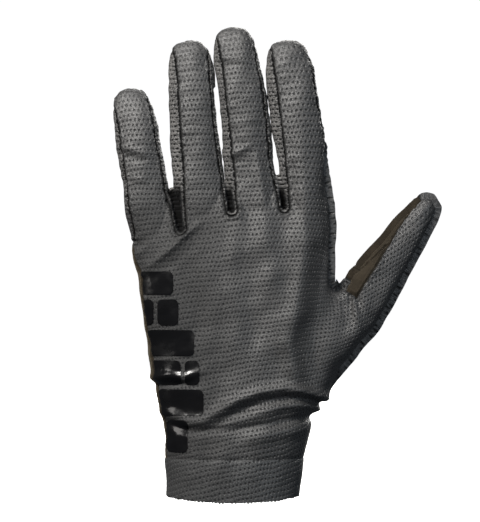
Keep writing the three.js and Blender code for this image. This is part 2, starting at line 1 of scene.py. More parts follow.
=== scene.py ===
"""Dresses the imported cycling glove: sewn cloth panels, seams, printed film and studio.

The hand form is lofted from tables and cut along the seams into its panels. Each
panel is unwrapped from the smooth form to its flat pattern, so that the perforated
knit follows the cloth. It then moves to its folded place and gets its thickness and
its finish.
Lengths in the tables are millimetres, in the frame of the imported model.
"""

import logging
import math
from collections.abc import Callable
from dataclasses import dataclass, field
from enum import Enum

import bmesh
import bpy
import numpy as np
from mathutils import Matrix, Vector, kdtree, noise


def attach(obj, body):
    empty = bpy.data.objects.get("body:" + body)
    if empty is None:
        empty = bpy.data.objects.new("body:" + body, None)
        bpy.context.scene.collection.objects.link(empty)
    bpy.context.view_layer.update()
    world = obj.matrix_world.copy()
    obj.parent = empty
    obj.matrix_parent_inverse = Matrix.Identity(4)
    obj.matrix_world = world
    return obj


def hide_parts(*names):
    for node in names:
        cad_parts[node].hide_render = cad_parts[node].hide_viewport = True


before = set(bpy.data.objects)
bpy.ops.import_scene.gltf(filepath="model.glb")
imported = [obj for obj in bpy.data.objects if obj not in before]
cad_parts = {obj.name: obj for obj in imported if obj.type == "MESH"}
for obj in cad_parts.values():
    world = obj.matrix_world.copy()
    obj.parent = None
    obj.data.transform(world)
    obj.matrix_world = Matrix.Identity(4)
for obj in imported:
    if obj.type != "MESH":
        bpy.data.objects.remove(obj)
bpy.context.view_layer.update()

LOG = logging.getLogger("glove")
MM = 0.001
Field = Callable[[np.ndarray], np.ndarray]


class Panel(Enum):
    """The sewn panels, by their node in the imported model."""

    BODY = "body"
    WASTE = "waste"
    CUFF = "cuff_band"
    BACK = "back_panel"
    PALM = "palm_panel"
    LITTLE_OUTER = "little_outer_strip"
    LITTLE_RING = "little_ring_fourchette"
    RING_MIDDLE = "ring_middle_fourchette"
    MIDDLE_INDEX = "middle_index_fourchette"
    INDEX_OUTER = "index_outer_strip"
    THUMB = "thumb_front"
    WEB = "thumb_web_gusset"


@dataclass(frozen=True)
class Digit:
    """A finger or the thumb: its root, its lean towards -X and its own sizes."""

    name: str
    x: float
    z: float
    lean: float
    length: float
    width: float
    depth: float

    @property
    def along(self) -> np.ndarray:
        """The direction up the digit, seen from the back of the hand."""
        lean = math.radians(self.lean)
        return np.array([-math.sin(lean), math.cos(lean)])

    @property
    def across(self) -> np.ndarray:
        """The direction across the digit towards +X."""
        lean = math.radians(self.lean)
        return np.array([math.cos(lean), math.sin(lean)])

    def place(self, along: float, across: float) -> np.ndarray:
        """Finds a point of the digit's plane.

        Args:
            along: Distance up the digit from its root.
            across: Distance from its middle line towards +X.

        Returns:
            The point's x and z.
        """
        return np.array([self.x, self.z]) + along * self.along + across * self.across


@dataclass(frozen=True)
class Seams:
    """A finger's seams as shares of its half width, at its root and at its tip."""

    left_root: float
    left_tip: float
    right_root: float
    right_tip: float


LITTLE = Digit("little", -39.3, 134.0, 9.3, 65.4, 21.6, 17.0)
RING = Digit("ring", -15.8, 138.0, 3.7, 84.3, 24.0, 18.4)
MIDDLE = Digit("middle", 10.6, 141.0, 7.1, 88.0, 23.9, 18.8)
INDEX = Digit("index", 36.8, 141.0, 8.1, 82.4, 24.7, 18.8)
THUMB = Digit("thumb", 37.0, 57.6, -34.4, 108.8, 32.0, 30.0)
FINGERS = (LITTLE, RING, MIDDLE, INDEX)
SEAMS = {
    "little": Seams(0.86, 0.78, 0.84, 0.78),
    "ring": Seams(0.66, 0.6, 0.9, 0.74),
    "middle": Seams(0.8, 0.6, 0.82, 0.84),
    "index": Seams(0.86, 0.56, 1.12, 0.76),
}

# Sections of a finger: share of its length, half width and half depth shares.
FINGER_ROWS = (
    (-0.32, 0.66, 0.9),
    (0.0, 1.0, 1.06),
    (0.24, 1.0, 1.0),
    (0.5, 0.97, 0.96),
    (0.74, 0.93, 0.89),
    (0.87, 0.86, 0.8),
    (0.94, 0.72, 0.66),
    (0.983, 0.48, 0.44),
    (1.0, 0.1, 0.1),
)

# Sections of the thumb: share of its length, width, depth, aside and back.
THUMB_ROWS = (
    (-0.14, 0.8, 0.82, -0.19, 0.1),
    (0.0, 0.93, 1.0, -0.14, 0.2),
    (0.13, 0.97, 1.04, -0.14, 0.3),
    (0.25, 0.98, 1.0, -0.1, 0.42),
    (0.35, 0.95, 0.91, -0.048, 0.54),
    (0.45, 0.88, 0.81, -0.035, 0.65),
    (0.6, 0.77, 0.7, -0.025, 0.8),
    (0.75, 0.65, 0.62, -0.02, 0.92),
    (0.86, 0.56, 0.54, -0.016, 0.98),
    (0.94, 0.46, 0.43, -0.01, 1.0),
    (0.98, 0.33, 0.3, -0.01, 1.0),
    (1.0, 0.08, 0.08, -0.03, 1.0),
)

# Sections of the hand: share of its length, middle, half width, half depth,
# tilt and roundness.
HAND_ROWS = (
    (0.0, -0.004, 0.318, 0.5, 0.0, 2.1),
    (0.07, 0.0, 0.324, 0.495, 0.0, 2.1),
    (0.14, 0.008, 0.33, 0.485, 0.0, 2.1),
    (0.2, 0.016, 0.34, 0.468, 0.02, 2.15),
    (0.27, 0.022, 0.362, 0.446, 0.1, 2.2),
    (0.34, 0.024, 0.388, 0.42, 0.25, 2.25),
    (0.44, 0.026, 0.424, 0.39, 0.5, 2.3),
    (0.54, 0.032, 0.446, 0.37, 0.72, 2.35),
    (0.64, 0.028, 0.466, 0.35, 0.88, 2.4),
    (0.74, 0.018, 0.477, 0.322, 0.97, 2.4),
    (0.83, 0.005, 0.492, 0.28, 1.0, 2.4),
    (0.9, -0.002, 0.475, 0.225, 1.0, 2.3),
    (0.96, -0.005, 0.44, 0.15, 1.0, 2.2),
    (1.0, -0.005, 0.39, 0.07, 1.0, 2.1),
)

# The side seam between back and palm: share of the hand's length, and its
# depth on the little finger's side and on the thumb's side.
SIDE_ROWS = (
    (0.1, -0.08, 0.16),
    (0.3, -0.11, 0.2),
    (0.55, -0.12, 0.24),
    (0.74, -0.1, 0.18),
    (0.84, 0.0, 0.1),
    (0.95, 0.05, 0.07),
    (1.2, 0.09, 0.09),
    (1.36, 0.2, 0.19),
    (1.56, 0.24, 0.24),
)

# The thumb's seam: share of its length, and its place across on its mid-depth.
THUMB_SEAM_ROWS = (
    (0.3, 0.22),
    (0.5, 0.17),
    (0.6, 0.12),
    (0.7, 0.02),
    (0.8, -0.1),
    (1.1, -0.34),
)


def read_rows(rows: tuple, column: int, place: np.ndarray | float) -> np.ndarray:
    """Reads one column of a table smoothly between its rows.

    Args:
        rows: The table, with its key in the first column.
        column: The column to read.
        place: The keys to read at.

    Returns:
        The values there.
    """
    table = np.array(rows, float)
    keys, values = table[:, 0], table[:, column]
    slopes = np.gradient(values, keys)
    p = np.clip(np.asarray(place, float), keys[0], keys[-1])
    i = np.clip(np.searchsorted(keys, p, side="right") - 1, 0, len(keys) - 2)
    width = keys[i + 1] - keys[i]
    s = (p - keys[i]) / width
    return (
        (2 * s**3 - 3 * s**2 + 1) * values[i]
        + (s**3 - 2 * s**2 + s) * slopes[i] * width
        + (3 * s**2 - 2 * s**3) * values[i + 1]
        + (s**3 - s**2) * slopes[i + 1] * width
    )


def smooth_step(x: np.ndarray, low: float, high: float) -> np.ndarray:
    """Rises smoothly from 0 at low to 1 at high."""
    t = np.clip((x - low) / (high - low), 0, 1)
    return t * t * (3 - 2 * t)


def deselect_all() -> None:
    """Leaves nothing selected, so that an operator acts on its own piece."""
    if bpy.context.object and bpy.context.object.mode != "OBJECT":
        bpy.ops.object.mode_set(mode="OBJECT")
    bpy.ops.object.select_all(action="DESELECT")


def activate(piece: bpy.types.Object) -> None:
    """Makes a piece the only selected one and the active one.

    Args:
        piece: The piece.
    """
    deselect_all()
    piece.select_set(True)
    bpy.context.view_layer.objects.active = piece


def read_all(
    items: bpy.types.bpy_prop_collection, name: str, columns: int, kind: type = np.float32
) -> np.ndarray:
    """Reads one property of all of a mesh's items.

    Args:
        items: The items, such as the mesh's points.
        name: The property's name.
        columns: How many numbers it has.
        kind: The type of its numbers.

    Returns:
        The numbers, with a row for each item.
    """
    flat = np.empty(len(items) * columns, kind)
    items.foreach_get(name, flat)
    return flat.reshape(-1, columns)


def points_of(mesh: bpy.types.Mesh) -> np.ndarray:
    """The mesh's points in millimetres."""
    return read_all(mesh.vertices, "co", 3).astype(float) / MM


def set_points(mesh: bpy.types.Mesh, points: np.ndarray) -> None:
    """Writes the mesh's points, given in millimetres."""
    mesh.vertices.foreach_set("co", (points * MM).astype(np.float32).ravel())
    mesh.update()


def normals_of(mesh: bpy.types.Mesh) -> np.ndarray:
    """The mesh's point normals."""
    return read_all(mesh.vertex_normals, "vector", 3).astype(float)


def piece_from(shape: bmesh.types.BMesh, name: str) -> bpy.types.Object:
    """Makes a piece from a shape, and frees the shape.

    Args:
        shape: The shape.
        name: The piece's name.

    Returns:
        The piece, at the origin.
    """
    mesh = bpy.data.meshes.new(name)
    shape.to_mesh(mesh)
    shape.free()
    piece = bpy.data.objects.new(name, mesh)
    bpy.context.collection.objects.link(piece)
    return piece


def from_segment(
    flat: np.ndarray, start: np.ndarray, end: np.ndarray
) -> tuple[np.ndarray, np.ndarray]:
    """Measures points of a plane against a straight segment.

    Args:
        flat: The points.
        start: The segment's first end.
        end: Its other end.

    Returns:
        Their distances from it, and the share of it where each one's nearest place is.
    """
    run = end - start
    share = np.clip((flat - start) @ run / (run @ run), 0, 1)
    return np.hypot(*(flat - start - share[:, None] * run).T), share


@dataclass
class HandForm:
    """The form of cloth on a hand: lofted tubes, joined and smoothed."""

    length: float = 153.0
    width: float = 100.0
    depth: float = 46.0
    tilt: float = 8.4
    curl: float = 7.0
    thumb_lead: float = 12.0
    cuff: float = 21.0
    hem_rise: float = 2.6
    voxel: float = 0.85
    inset: float = 1.0
    settling: float = 0.1
    sides: int = 72

    def tube(self, rings: int, place: Callable[[int, np.ndarray], np.ndarray]) -> bpy.types.Object:
        """Lofts a closed tube.

        Args:
            rings: How many rings of points it has.
            place: Gives the points of a ring for an array of angles.

        Returns:
            The tube, at the origin.
        """
        deselect_all()
        bpy.ops.mesh.primitive_cylinder_add(vertices=self.sides, radius=1, depth=1)
        piece = bpy.context.object
        bpy.ops.object.mode_set(mode="EDIT")
        bpy.ops.mesh.select_all(action="DESELECT")
        shape = bmesh.from_edit_mesh(piece.data)
        for edge in shape.edges:
            a, b = edge.verts
            edge.select_set(abs(a.co.z - b.co.z) > 0.5)
        bpy.ops.mesh.subdivide_edgering(number_cuts=rings - 2, interpolation="LINEAR")
        bpy.ops.object.mode_set(mode="OBJECT")
        points = points_of(piece.data) * MM
        ring = np.rint((points[:, 2] + 0.5) * (rings - 1)).astype(int)
        angle = np.arctan2(points[:, 1], points[:, 0])
        for i in range(rings):
            mine = ring == i
            points[mine] = place(i, angle[mine])
        set_points(piece.data, points)
        return piece

    def section(
        self, angle: np.ndarray, half_width: float, half_depth: float, roundness: float
    ) -> tuple[np.ndarray, np.ndarray]:
        """Finds the points of a rounded section.

        Args:
            angle: Where round the section, 0 towards +X.
            half_width: Half its width.
            half_depth: Half its depth.
            roundness: 2 for an ellipse, and more for a squarer one.

        Returns:
            The distances across and in depth.
        """
        c, s = np.cos(angle), np.sin(angle)
        power = 2 / roundness
        return (
            np.sign(c) * np.abs(c) ** power * half_width,
            np.sign(s) * np.abs(s) ** power * half_depth,
        )

    def ring_shares(self, first: float) -> np.ndarray:
        """Spaces a digit's rings along it, closer together at its round tip.

        Args:
            first: The share of its length where the first ring lies.

        Returns:
            The rings' shares of its length.
        """
        tip = 1 - 0.16 * np.cos(np.linspace(0.1, 1.57, 12))
        return np.concatenate([np.linspace(first, 0.84, 28), tip])

    def hand(self) -> bpy.types.Object:
        """Lofts the hand from below its hem to the webs.

        Returns:
            The tube.
        """
        heights = np.linspace(-6, self.length, 48)

        def place(i: int, angle: np.ndarray) -> np.ndarray:
            """Finds the points of one ring.

            Args:
                i: The ring's number.
                angle: The points' angles round it.

            Returns:
                The points.
            """
            up = max(heights[i], 0) / self.length
            half_width = read_rows(HAND_ROWS, 2, up) * self.width - self.inset
            half_depth = read_rows(HAND_ROWS, 3, up) * self.depth - self.inset
            x, y = self.section(angle, half_width, half_depth, read_rows(HAND_ROWS, 5, up))
            x = x + read_rows(HAND_ROWS, 1, up) * self.width
            lift = math.tan(math.radians(self.tilt)) * read_rows(HAND_ROWS, 4, up)
            return np.stack([x, y, heights[i] + x * lift], 1)

        return self.tube(len(heights), place)

    def finger(self, digit: Digit) -> bpy.types.Object:
        """Lofts one finger.

        Args:
            digit: The finger.

        Returns:
            The tube, closed at the fingertip.
        """
        shares = self.ring_shares(-0.32)

        def place(i: int, angle: np.ndarray) -> np.ndarray:
            """Finds the points of one ring.

            Args:
                i: The ring's number.
                angle: The points' angles round it.

            Returns:
                The points.
            """
            t = float(shares[i])
            half_width = max(read_rows(FINGER_ROWS, 1, t) * digit.width / 2 - self.inset, 0.3)
            half_depth = max(read_rows(FINGER_ROWS, 2, t) * digit.depth / 2 - self.inset, 0.3)
            s, y = self.section(angle, half_width, half_depth, 2.3)
            reach = t * (digit.length - self.inset)
            flat = np.array([digit.place(reach, across) for across in s])
            return np.stack([flat[:, 0], y + self.curl * max(t, 0) ** 2, flat[:, 1]], 1)

        return self.tube(len(shares), place)

    def thumb(self) -> bpy.types.Object:
        """Lofts the thumb.

        Returns:
            The tube, closed at the thumb's tip.
        """
        shares = self.ring_shares(-0.14)

        def place(i: int, angle: np.ndarray) -> np.ndarray:
            """Finds the points of one ring.

            Args:
                i: The ring's number.
                angle: The points' angles round it.

            Returns:
                The points.
            """
            t = float(shares[i])
            half_width = max(read_rows(THUMB_ROWS, 1, t) * THUMB.width / 2 - self.inset, 0.3)
            half_depth = max(read_rows(THUMB_ROWS, 2, t) * THUMB.depth / 2 - self.inset, 0.3)
            s, y = self.section(angle, half_width, half_depth, 2.2)
            s = s + read_rows(THUMB_ROWS, 3, t) * THUMB.width
            reach = t * (THUMB.length - self.inset)
            flat = np.array([THUMB.place(reach, across) for across in s])
            lead = read_rows(THUMB_ROWS, 4, t) * self.thumb_lead
            return np.stack([flat[:, 0], y + lead, flat[:, 1]], 1)

        return self.tube(len(shares), place)

    def soften(
        self, form: bpy.types.Object, path: tuple, reach: float, rounds: int
    ) -> None:
        """Stretches the cloth smoothly over a hollow.

        Args:
            form: The form.
            path: The hollow's line, as points (x, z).
            reach: How far to each side of the line it works.
            rounds: How strongly it smooths.
        """
        points = points_of(form.data)
        away = np.full(len(points), 1e9)
        for a, b in zip(np.array(path[:-1], float), np.array(path[1:], float)):
            away = np.minimum(away, from_segment(points[:, [0, 2]], a, b)[0])
        weight = 1 - smooth_step(away, 0.5 * reach, reach)
        group = form.vertex_groups.new(name="softened")
        for i in np.flatnonzero(weight > 0.01):
            group.add([int(i)], float(weight[i]), "REPLACE")
        smooth = form.modifiers.new("soften", "SMOOTH")
        smooth.factor = 0.5
        smooth.iterations = rounds
        smooth.vertex_group = group.name
        activate(form)
        bpy.ops.object.modifier_apply(modifier=smooth.name)
        form.vertex_groups.clear()

    def build(self) -> bpy.types.Object:
        """Joins the tubes into one smooth closed form.

        Returns:
            The form, in metres, at the origin.
        """
        tubes = [self.hand(), self.thumb(), *(self.finger(digit) for digit in FINGERS)]
        deselect_all()
        for piece in tubes:
            piece.select_set(True)
        bpy.context.view_layer.objects.active = tubes[0]
        bpy.ops.object.join()
        form = bpy.context.object
        form.data.remesh_voxel_size = self.voxel * MM
        bpy.ops.object.voxel_remesh()
        smooth = form.modifiers.new("settle", "SMOOTH")
        smooth.factor = 0.5
        smooth.iterations = 8
        bpy.ops.object.modifier_apply(modifier=smooth.name)
        self.soften(form, ((50, 100), (37, 70), (42, 46)), 13.0, 220)
        swell = normals_of(form.data) * (self.inset + self.settling)
        set_points(form.data, points_of(form.data) + swell)
        return form


@dataclass(frozen=True)
class Fold:
    """A roll or a crease of the cloth, along a path of (x, z) points."""

    path: tuple[tuple[float, float], ...]
    rise: tuple[float, ...]
    width: float
    sides: float = 1.0
    on_palm: bool = False

    def push(self, points: np.ndarray, facing: np.ndarray) -> np.ndarray:
        """Finds how far the fold moves the cloth out.

        Args:
            points: The cloth's points.
            facing: 1 where the cloth faces the back's viewer, -1 on the palm.

        Returns:
            The distance outwards at each point.
        """
        best = np.full(len(points), 1e9)
        height = np.zeros(len(points))
        flat = points[:, [0, 2]]
        for i in range(len(self.path) - 1):
            away, share = from_segment(flat, np.array(self.path[i]), np.array(self.path[i + 1]))
            level = self.rise[i] + share * (self.rise[i + 1] - self.rise[i])
            nearer = away < best
            best = np.where(nearer, away, best)
            height = np.where(nearer, level, height)
        toward = -facing if self.on_palm else facing
        reach = smooth_step(toward, -0.75 * self.sides, 0.15)
        return height * np.exp(-((best / self.width) ** 2)) * reach


# Rolls (rise over 0) and creases (under 0) of the back, from the wrist to the
# fingertips, and then those at the root of the thumb.
FOLDS = (
    Fold(((-33.5, 43.5), (-27.5, 42), (-20.5, 39), (-14, 39.5), (-7, 44),
          (1.5, 49), (12, 53), (23.5, 55), (34, 53.5), (44, 50.5)),
         (0.7, 1.4, 1.5, 1.6, 2.0, 2.3, 2.5, 2.5, 2.4, 2.3), 2.5),
    Fold(((1.5, 39), (12, 43), (24.5, 46.5), (35, 47), (42, 44.5)), (0.2, 0.9, 1.5, 1.8, 2.4), 2.4),
    Fold(((-9, 37.5), (-5.5, 39.5), (6, 45.5), (17, 49), (28.5, 50.5), (40, 48.5)),
         (-0.3, -0.9, -1.1, -1.0, -1.0, -1.5), 1.9),
    Fold(((-31, 38), (-20, 34.5), (-13, 35), (2.5, 36), (18, 38), (32, 40.5), (40.5, 40.5)),
         (-0.8, -1.1, -1.2, -1.1, -1.2, -1.5, -1.9), 1.9),
    Fold(((0, 29), (10, 31), (20, 33), (33, 35)), (0.2, 0.9, 1.0, 1.1), 3.0),
    Fold(((-40, 59.5), (-30, 61), (-23, 60), (-14.5, 63)), (1.0, 1.3, 1.3, 0.5), 1.8),
    Fold(((-38, 56), (-27.5, 57), (-17.5, 56.5)), (-0.6, -0.9, -0.4), 1.6),
    Fold(((32, 183), (35, 154.5), (35, 125.5), (31, 96.5), (26, 77.5), (28, 65.5), (31, 54.5)),
         (0.0, 0.4, 1.2, 1.7, 2.1, 1.8, 0.8), 5.0),
    Fold(((8, 132.5), (7.5, 111), (9, 87), (11, 72.5)), (-0.4, -0.9, -0.8, -0.3), 6.0),
    Fold(((1, 152), (1.5, 137), (0, 118), (-2, 100)), (0.3, 0.9, 0.9, 0.2), 3.8),
    Fold(((14, 142), (16.5, 125), (17, 104)), (0.4, 0.9, 0.3), 4.2),
    Fold(((24, 150), (25, 130), (24, 108)), (-0.3, -0.9, -0.3), 4.2),
    Fold(((-22, 118), (-21, 100), (-17, 80)), (-0.2, -0.8, -0.3), 6.0),
    Fold(((-40, 113), (-30, 120.5), (-21.5, 128.5), (-15, 134)), (0.6, 1.6, 1.5, 0.4), 1.6),
    Fold(((-38, 108), (-28, 115), (-19, 123)), (-0.2, -0.5, -0.3), 2.2),
    Fold(((-45.5, 119), (-39, 124.5)), (0.7, 0.3), 1.6),
    Fold(((-47, 126), (-41, 129)), (0.5, 0.1), 1.4),
    Fold(((-54, 170.5), (-48, 169), (-42.5, 167)), (0.5, 0.7, 0.4), 1.5),
    Fold(((-54, 166.5), (-48, 165), (-42.5, 163.5)), (-0.4, -0.5, -0.3), 1.5),
    Fold(((-52.5, 156), (-42.5, 154)), (0.4, 0.3), 1.6),
    Fold(((-1, 166), (3.5, 168), (8, 170)), (0.7, 0.8, 0.2), 1.3),
    Fold(((-1, 162.5), (5, 163.5)), (-0.5, -0.3), 1.4),
    Fold(((-6.5, 213.5), (-1.5, 213), (12, 210.5)), (0.7, 0.5, 0.2), 1.6),
    Fold(((-6, 209.5), (8, 207.5)), (-0.3, -0.1), 1.6),
    Fold(((11.5, 168.5), (13, 154.5), (15, 142.5)), (0.3, 0.7, 0.5), 1.8),
    Fold(((2.5, 150), (3.5, 138), (5, 128)), (0.2, 0.7, 0.3), 2.4),
    Fold(((55.5, 100.5), (56.5, 91), (58.5, 80.5)), (-1.6, -1.1, -0.1), 1.3, 0.4),
    Fold(((59, 99.5), (61.5, 94), (65, 88)), (-1.4, -0.9, -0.1), 1.2, 0.4),
    Fold(((57.2, 99), (59.3, 91), (62, 84)), (0.9, 0.7, 0.1), 1.3, 0.4),
    Fold(((53, 96.5), (54, 89), (56, 81.5)), (-0.9, -0.6, -0.1), 1.3, 0.4),
)

# Creases and pads of the palm, where the suede bends with the hand.
PALM_ROWS = (
    (((42, 118), (22, 112), (8, 98), (0, 80), (-4, 62), (-3, 48)),
     (-0.6, -1.2, -1.3, -1.2, -0.9, -0.2), 1.9),
    (((-44, 117), (-28, 112), (-10, 116), (8, 124), (22, 131)), (-0.4, -1.1, -1.2, -1.0, -0.3), 1.8),
    (((-40, 98), (-24, 98), (-6, 104), (12, 113)), (-0.2, -0.7, -0.8, -0.3), 1.8),
    (((34, 102), (25, 92), (18, 78), (15, 64)), (0.3, 0.9, 1.0, 0.3), 5.5),
    (((-34, 90), (-32, 72), (-28, 56)), (0.3, 1.0, 0.3), 7.0),
    (((-28, 44), (-8, 41), (14, 44), (30, 42)), (0.3, 1.0, 1.1, 0.5), 2.2),
    (((-28, 39), (-6, 36), (16, 39), (32, 37)), (-0.3, -1.0, -1.0, -0.4), 1.8),
    (((-24, 33), (-4, 31), (18, 33)), (0.2, 0.7, 0.3), 2.2),
    (((-49, 141), (-42, 138), (-35, 138)), (-0.6, -0.9, -0.5), 1.2),
    (((-26, 147), (-16, 145), (-6, 146)), (-0.6, -0.9, -0.5), 1.2),
    (((0, 149), (10, 148), (20, 149)), (-0.6, -0.9, -0.5), 1.2),
    (((27, 150), (36, 148), (45, 149)), (-0.6, -0.9, -0.5), 1.2),
    (((-53, 166), (-45, 165), (-38, 166)), (-0.5, -0.8, -0.4), 1.3),
    (((-28, 180), (-19, 178), (-10, 179)), (-0.5, -0.8, -0.4), 1.3),
    (((-4, 186), (6, 184), (15, 185)), (-0.5, -0.8, -0.4), 1.3),
    (((22, 182), (32, 180), (41, 181)), (-0.5, -0.8, -0.4), 1.3),
    (((66, 118), (72, 112), (80, 110)), (-0.5, -0.8, -0.3), 1.4),
)
PALM_FOLDS = tuple(Fold(path, rise, width, 1.0, True) for path, rise, width in PALM_ROWS)


@dataclass
class Pattern:
    """Where the form is cut into panels: signed fields, positive inside a panel."""

    form: HandForm
    shear: float = 0.14
    little_strip_from: float = 125.0
    index_strip_from: float = 142.3
    scallop: float = 2.1
    webs: tuple = (
        (LITTLE, RING, -5.4, Panel.LITTLE_RING),
        (RING, MIDDLE, 0.25, Panel.RING_MIDDLE),
        (MIDDLE, INDEX, 0.5, Panel.MIDDLE_INDEX),
    )

    def seam_place(self, digit: Digit, side: int, share: float) -> np.ndarray:
        """Finds a point of a finger's seam.

        Args:
            digit: The finger.
            side: -1 for its left seam, 1 for its right one.
            share: How far up its length.

        Returns:
            The point's x and z.
        """
        seams = SEAMS[digit.name]
        root = seams.left_root if side < 0 else seams.right_root
        tip = seams.left_tip if side < 0 else seams.right_tip
        across = side * (root + share * (tip - root)) * digit.width / 2
        return digit.place(share * digit.length, across)

    def seam_at(self, digit: Digit, side: int, height: float) -> np.ndarray:
        """Finds the point of a finger's seam at a height.

        Args:
            digit: The finger.
            side: -1 for its left seam, 1 for its right one.
            height: The height above the hem.

        Returns:
            The point's x and z.
        """
        low, high = self.seam_place(digit, side, 0), self.seam_place(digit, side, 1)
        return self.seam_place(digit, side, (height - low[1]) / (high[1] - low[1]))

    def outline_field(self, outline: list, shear: float) -> Field:
        """Makes the field of a prism through the glove, from its outline.

        Args:
            outline: Its corners as (x, z), in order.
            shear: How far it drifts across for each millimetre of depth.

        Returns:
            The signed distance to the outline, positive inside.
        """
        corners = np.array(outline, float)

        def value(points: np.ndarray) -> np.ndarray:
            """The signed distances of the points to the outline.

            Args:
                points: The points to read them at.

            Returns:
                The distances, positive inside.
            """
            p = np.stack([points[:, 0] + shear * points[:, 1], points[:, 2]], 1)
            nearest = np.full(len(p), 1e9)
            inside = np.zeros(len(p), bool)
            for a, b in zip(corners, np.roll(corners, -1, 0)):
                nearest = np.minimum(nearest, from_segment(p, a, b)[0])
                crosses = (a[1] > p[:, 1]) != (b[1] > p[:, 1])
                rise = b[1] - a[1] if b[1] != a[1] else 1e-9
                inside ^= crosses & (p[:, 0] < a[0] + (p[:, 1] - a[1]) * (b[0] - a[0]) / rise)
            return np.where(inside, nearest, -nearest)

        return value

    def fourchette(self, left: Digit, right: Digit, above: float) -> Field:
        """Makes the field of the U-shaped piece between two fingers.

        Args:
            left: The finger on its left.
            right: The finger on its right.
            above: How far it starts above the middle of their roots.

        Returns:
            The field, positive inside the piece.
        """
        height = (left.z + right.z) / 2 + above
        start, end = self.seam_at(left, 1, height), self.seam_at(right, -1, height)
        centre, radius = (start + end) / 2, np.hypot(*(end - start)) / 2
        outline = [self.seam_place(left, 1, 1.2), start]
        for angle in np.linspace(math.pi, 2 * math.pi, 14)[1:-1]:
            outline.append(centre + radius * np.array([math.cos(angle), math.sin(angle)]))
        outline += [end, self.seam_place(right, -1, 1.2)]
        return self.outline_field(outline, self.shear)

    def outer_strip(self, digit: Digit, side: int, lowest: float) -> Field:
        """Makes the field of the strip outside the hand's first or last finger.

        Args:
            digit: The finger.
            side: -1 for a strip on its left, 1 on its right.
            lowest: The height where it starts.

        Returns:
            The field, positive inside the strip.
        """
        beside = side * 0.7 * digit.width * digit.across
        low, high = self.seam_at(digit, side, lowest), self.seam_place(digit, side, 1.2)
        outline = [low + beside, low, high, high + beside]
        return self.outline_field(outline, -0.5 * side * self.shear)

    def cuff(self, points: np.ndarray) -> np.ndarray:
        """The field of the cuff band, which follows the wrist's hem."""
        return self.form.cuff - points[:, 2]

    def hem(self, points: np.ndarray) -> np.ndarray:
        """The field below the scalloped hem, which rises at both sides.

        Args:
            points: The points to read it at.

        Returns:
            Its values, positive below the hem.
        """
        x, y, z = points.T
        half = HAND_ROWS[0][2] * self.form.width
        round_it = np.arctan2(y, x) * half
        scallops = np.abs(np.sin(round_it * math.pi / self.scallop))
        return self.form.hem_rise * (x / half) ** 2 + scallops - z

    def palm(self, points: np.ndarray) -> np.ndarray:
        """The field of the palm side, behind the side seams.

        Args:
            points: The points to read it at.

        Returns:
            Its values, positive on the palm side.
        """
        x, y, z = points.T
        up = z / self.form.length
        left, right = read_rows(SIDE_ROWS, 1, up), read_rows(SIDE_ROWS, 2, up)
        share = smooth_step(x, -0.3 * self.form.width, 0.3 * self.form.width)
        return y - (left + share * (right - left)) * self.form.depth

    def thumb_zone(self) -> Field:
        """Makes the field of the thumb beyond its base seam and the web.

        Returns:
            The field, positive in the thumb.
        """
        rows = (
            (0.43, -0.41),
            (0.43, 2.0),
            (1.6, 2.0),
            (1.6, -1.2),
            (0.97, -0.83),
            (0.68, -0.634),
            (0.49, -0.475),
        )
        return self.outline_field(
            [THUMB.place(t * THUMB.length, s * THUMB.width) for t, s in rows], 0
        )

    def thumb_place(self, points: np.ndarray) -> tuple[np.ndarray, np.ndarray]:
        """The points' share of the thumb's length and their place across it."""
        flat = points[:, [0, 2]] - np.array([THUMB.x, THUMB.z])
        return flat @ THUMB.along / THUMB.length, flat @ THUMB.across

    def thumb_suede(self, points: np.ndarray) -> np.ndarray:
        """The field of the thumb's suede, behind its slanting seam.

        Args:
            points: The points to read it at.

        Returns:
            Its values, positive in the suede.
        """
        share, across = self.thumb_place(points)
        seam = read_rows(THUMB_SEAM_ROWS, 1, share) * THUMB.width
        lead = read_rows(THUMB_ROWS, 4, share) * self.form.thumb_lead
        return points[:, 1] - lead - (across - seam)

    def web(self, points: np.ndarray) -> np.ndarray:
        """The field of the lower piece of the thumb's suede.

        Args:
            points: The points to read it at.

        Returns:
            Its values, positive inside the piece.
        """
        share, across = self.thumb_place(points)
        near = (0.54 * THUMB.length, -0.43 * THUMB.width)
        far = (0.69 * THUMB.length, -0.27 * THUMB.width)
        run = np.array(far) - np.array(near)
        run = run / np.hypot(*run)
        along = share * THUMB.length
        side = (across - near[1]) * run[0] - (along - near[0]) * run[1]
        return np.minimum(side, far[0] - along)

    def cuts(self) -> list[tuple[Panel, Panel, Field]]:
        """Lists the cuts in order: from which panel, the new panel and its field.

        Returns:
            The cuts.
        """
        cuts = [(Panel.BODY, Panel.CUFF, self.cuff), (Panel.CUFF, Panel.WASTE, self.hem)]
        for left, right, above, panel in self.webs:
            cuts.append((Panel.BODY, panel, self.fourchette(left, right, above)))
        little_strip = self.outer_strip(LITTLE, -1, self.little_strip_from)
        index_strip = self.outer_strip(INDEX, 1, self.index_strip_from)
        cuts.append((Panel.BODY, Panel.LITTLE_OUTER, little_strip))
        cuts.append((Panel.BODY, Panel.INDEX_OUTER, index_strip))
        cuts.append((Panel.BODY, Panel.THUMB, self.thumb_zone()))
        cuts.append((Panel.THUMB, Panel.BACK, lambda points: -self.thumb_suede(points)))
        cuts.append((Panel.THUMB, Panel.WEB, self.web))
        cuts.append((Panel.BODY, Panel.PALM, self.palm))
        cuts.append((Panel.BODY, Panel.BACK, lambda points: np.ones(len(points))))
        return cuts


WEB_PANELS = (Panel.LITTLE_RING, Panel.RING_MIDDLE, Panel.MIDDLE_INDEX)


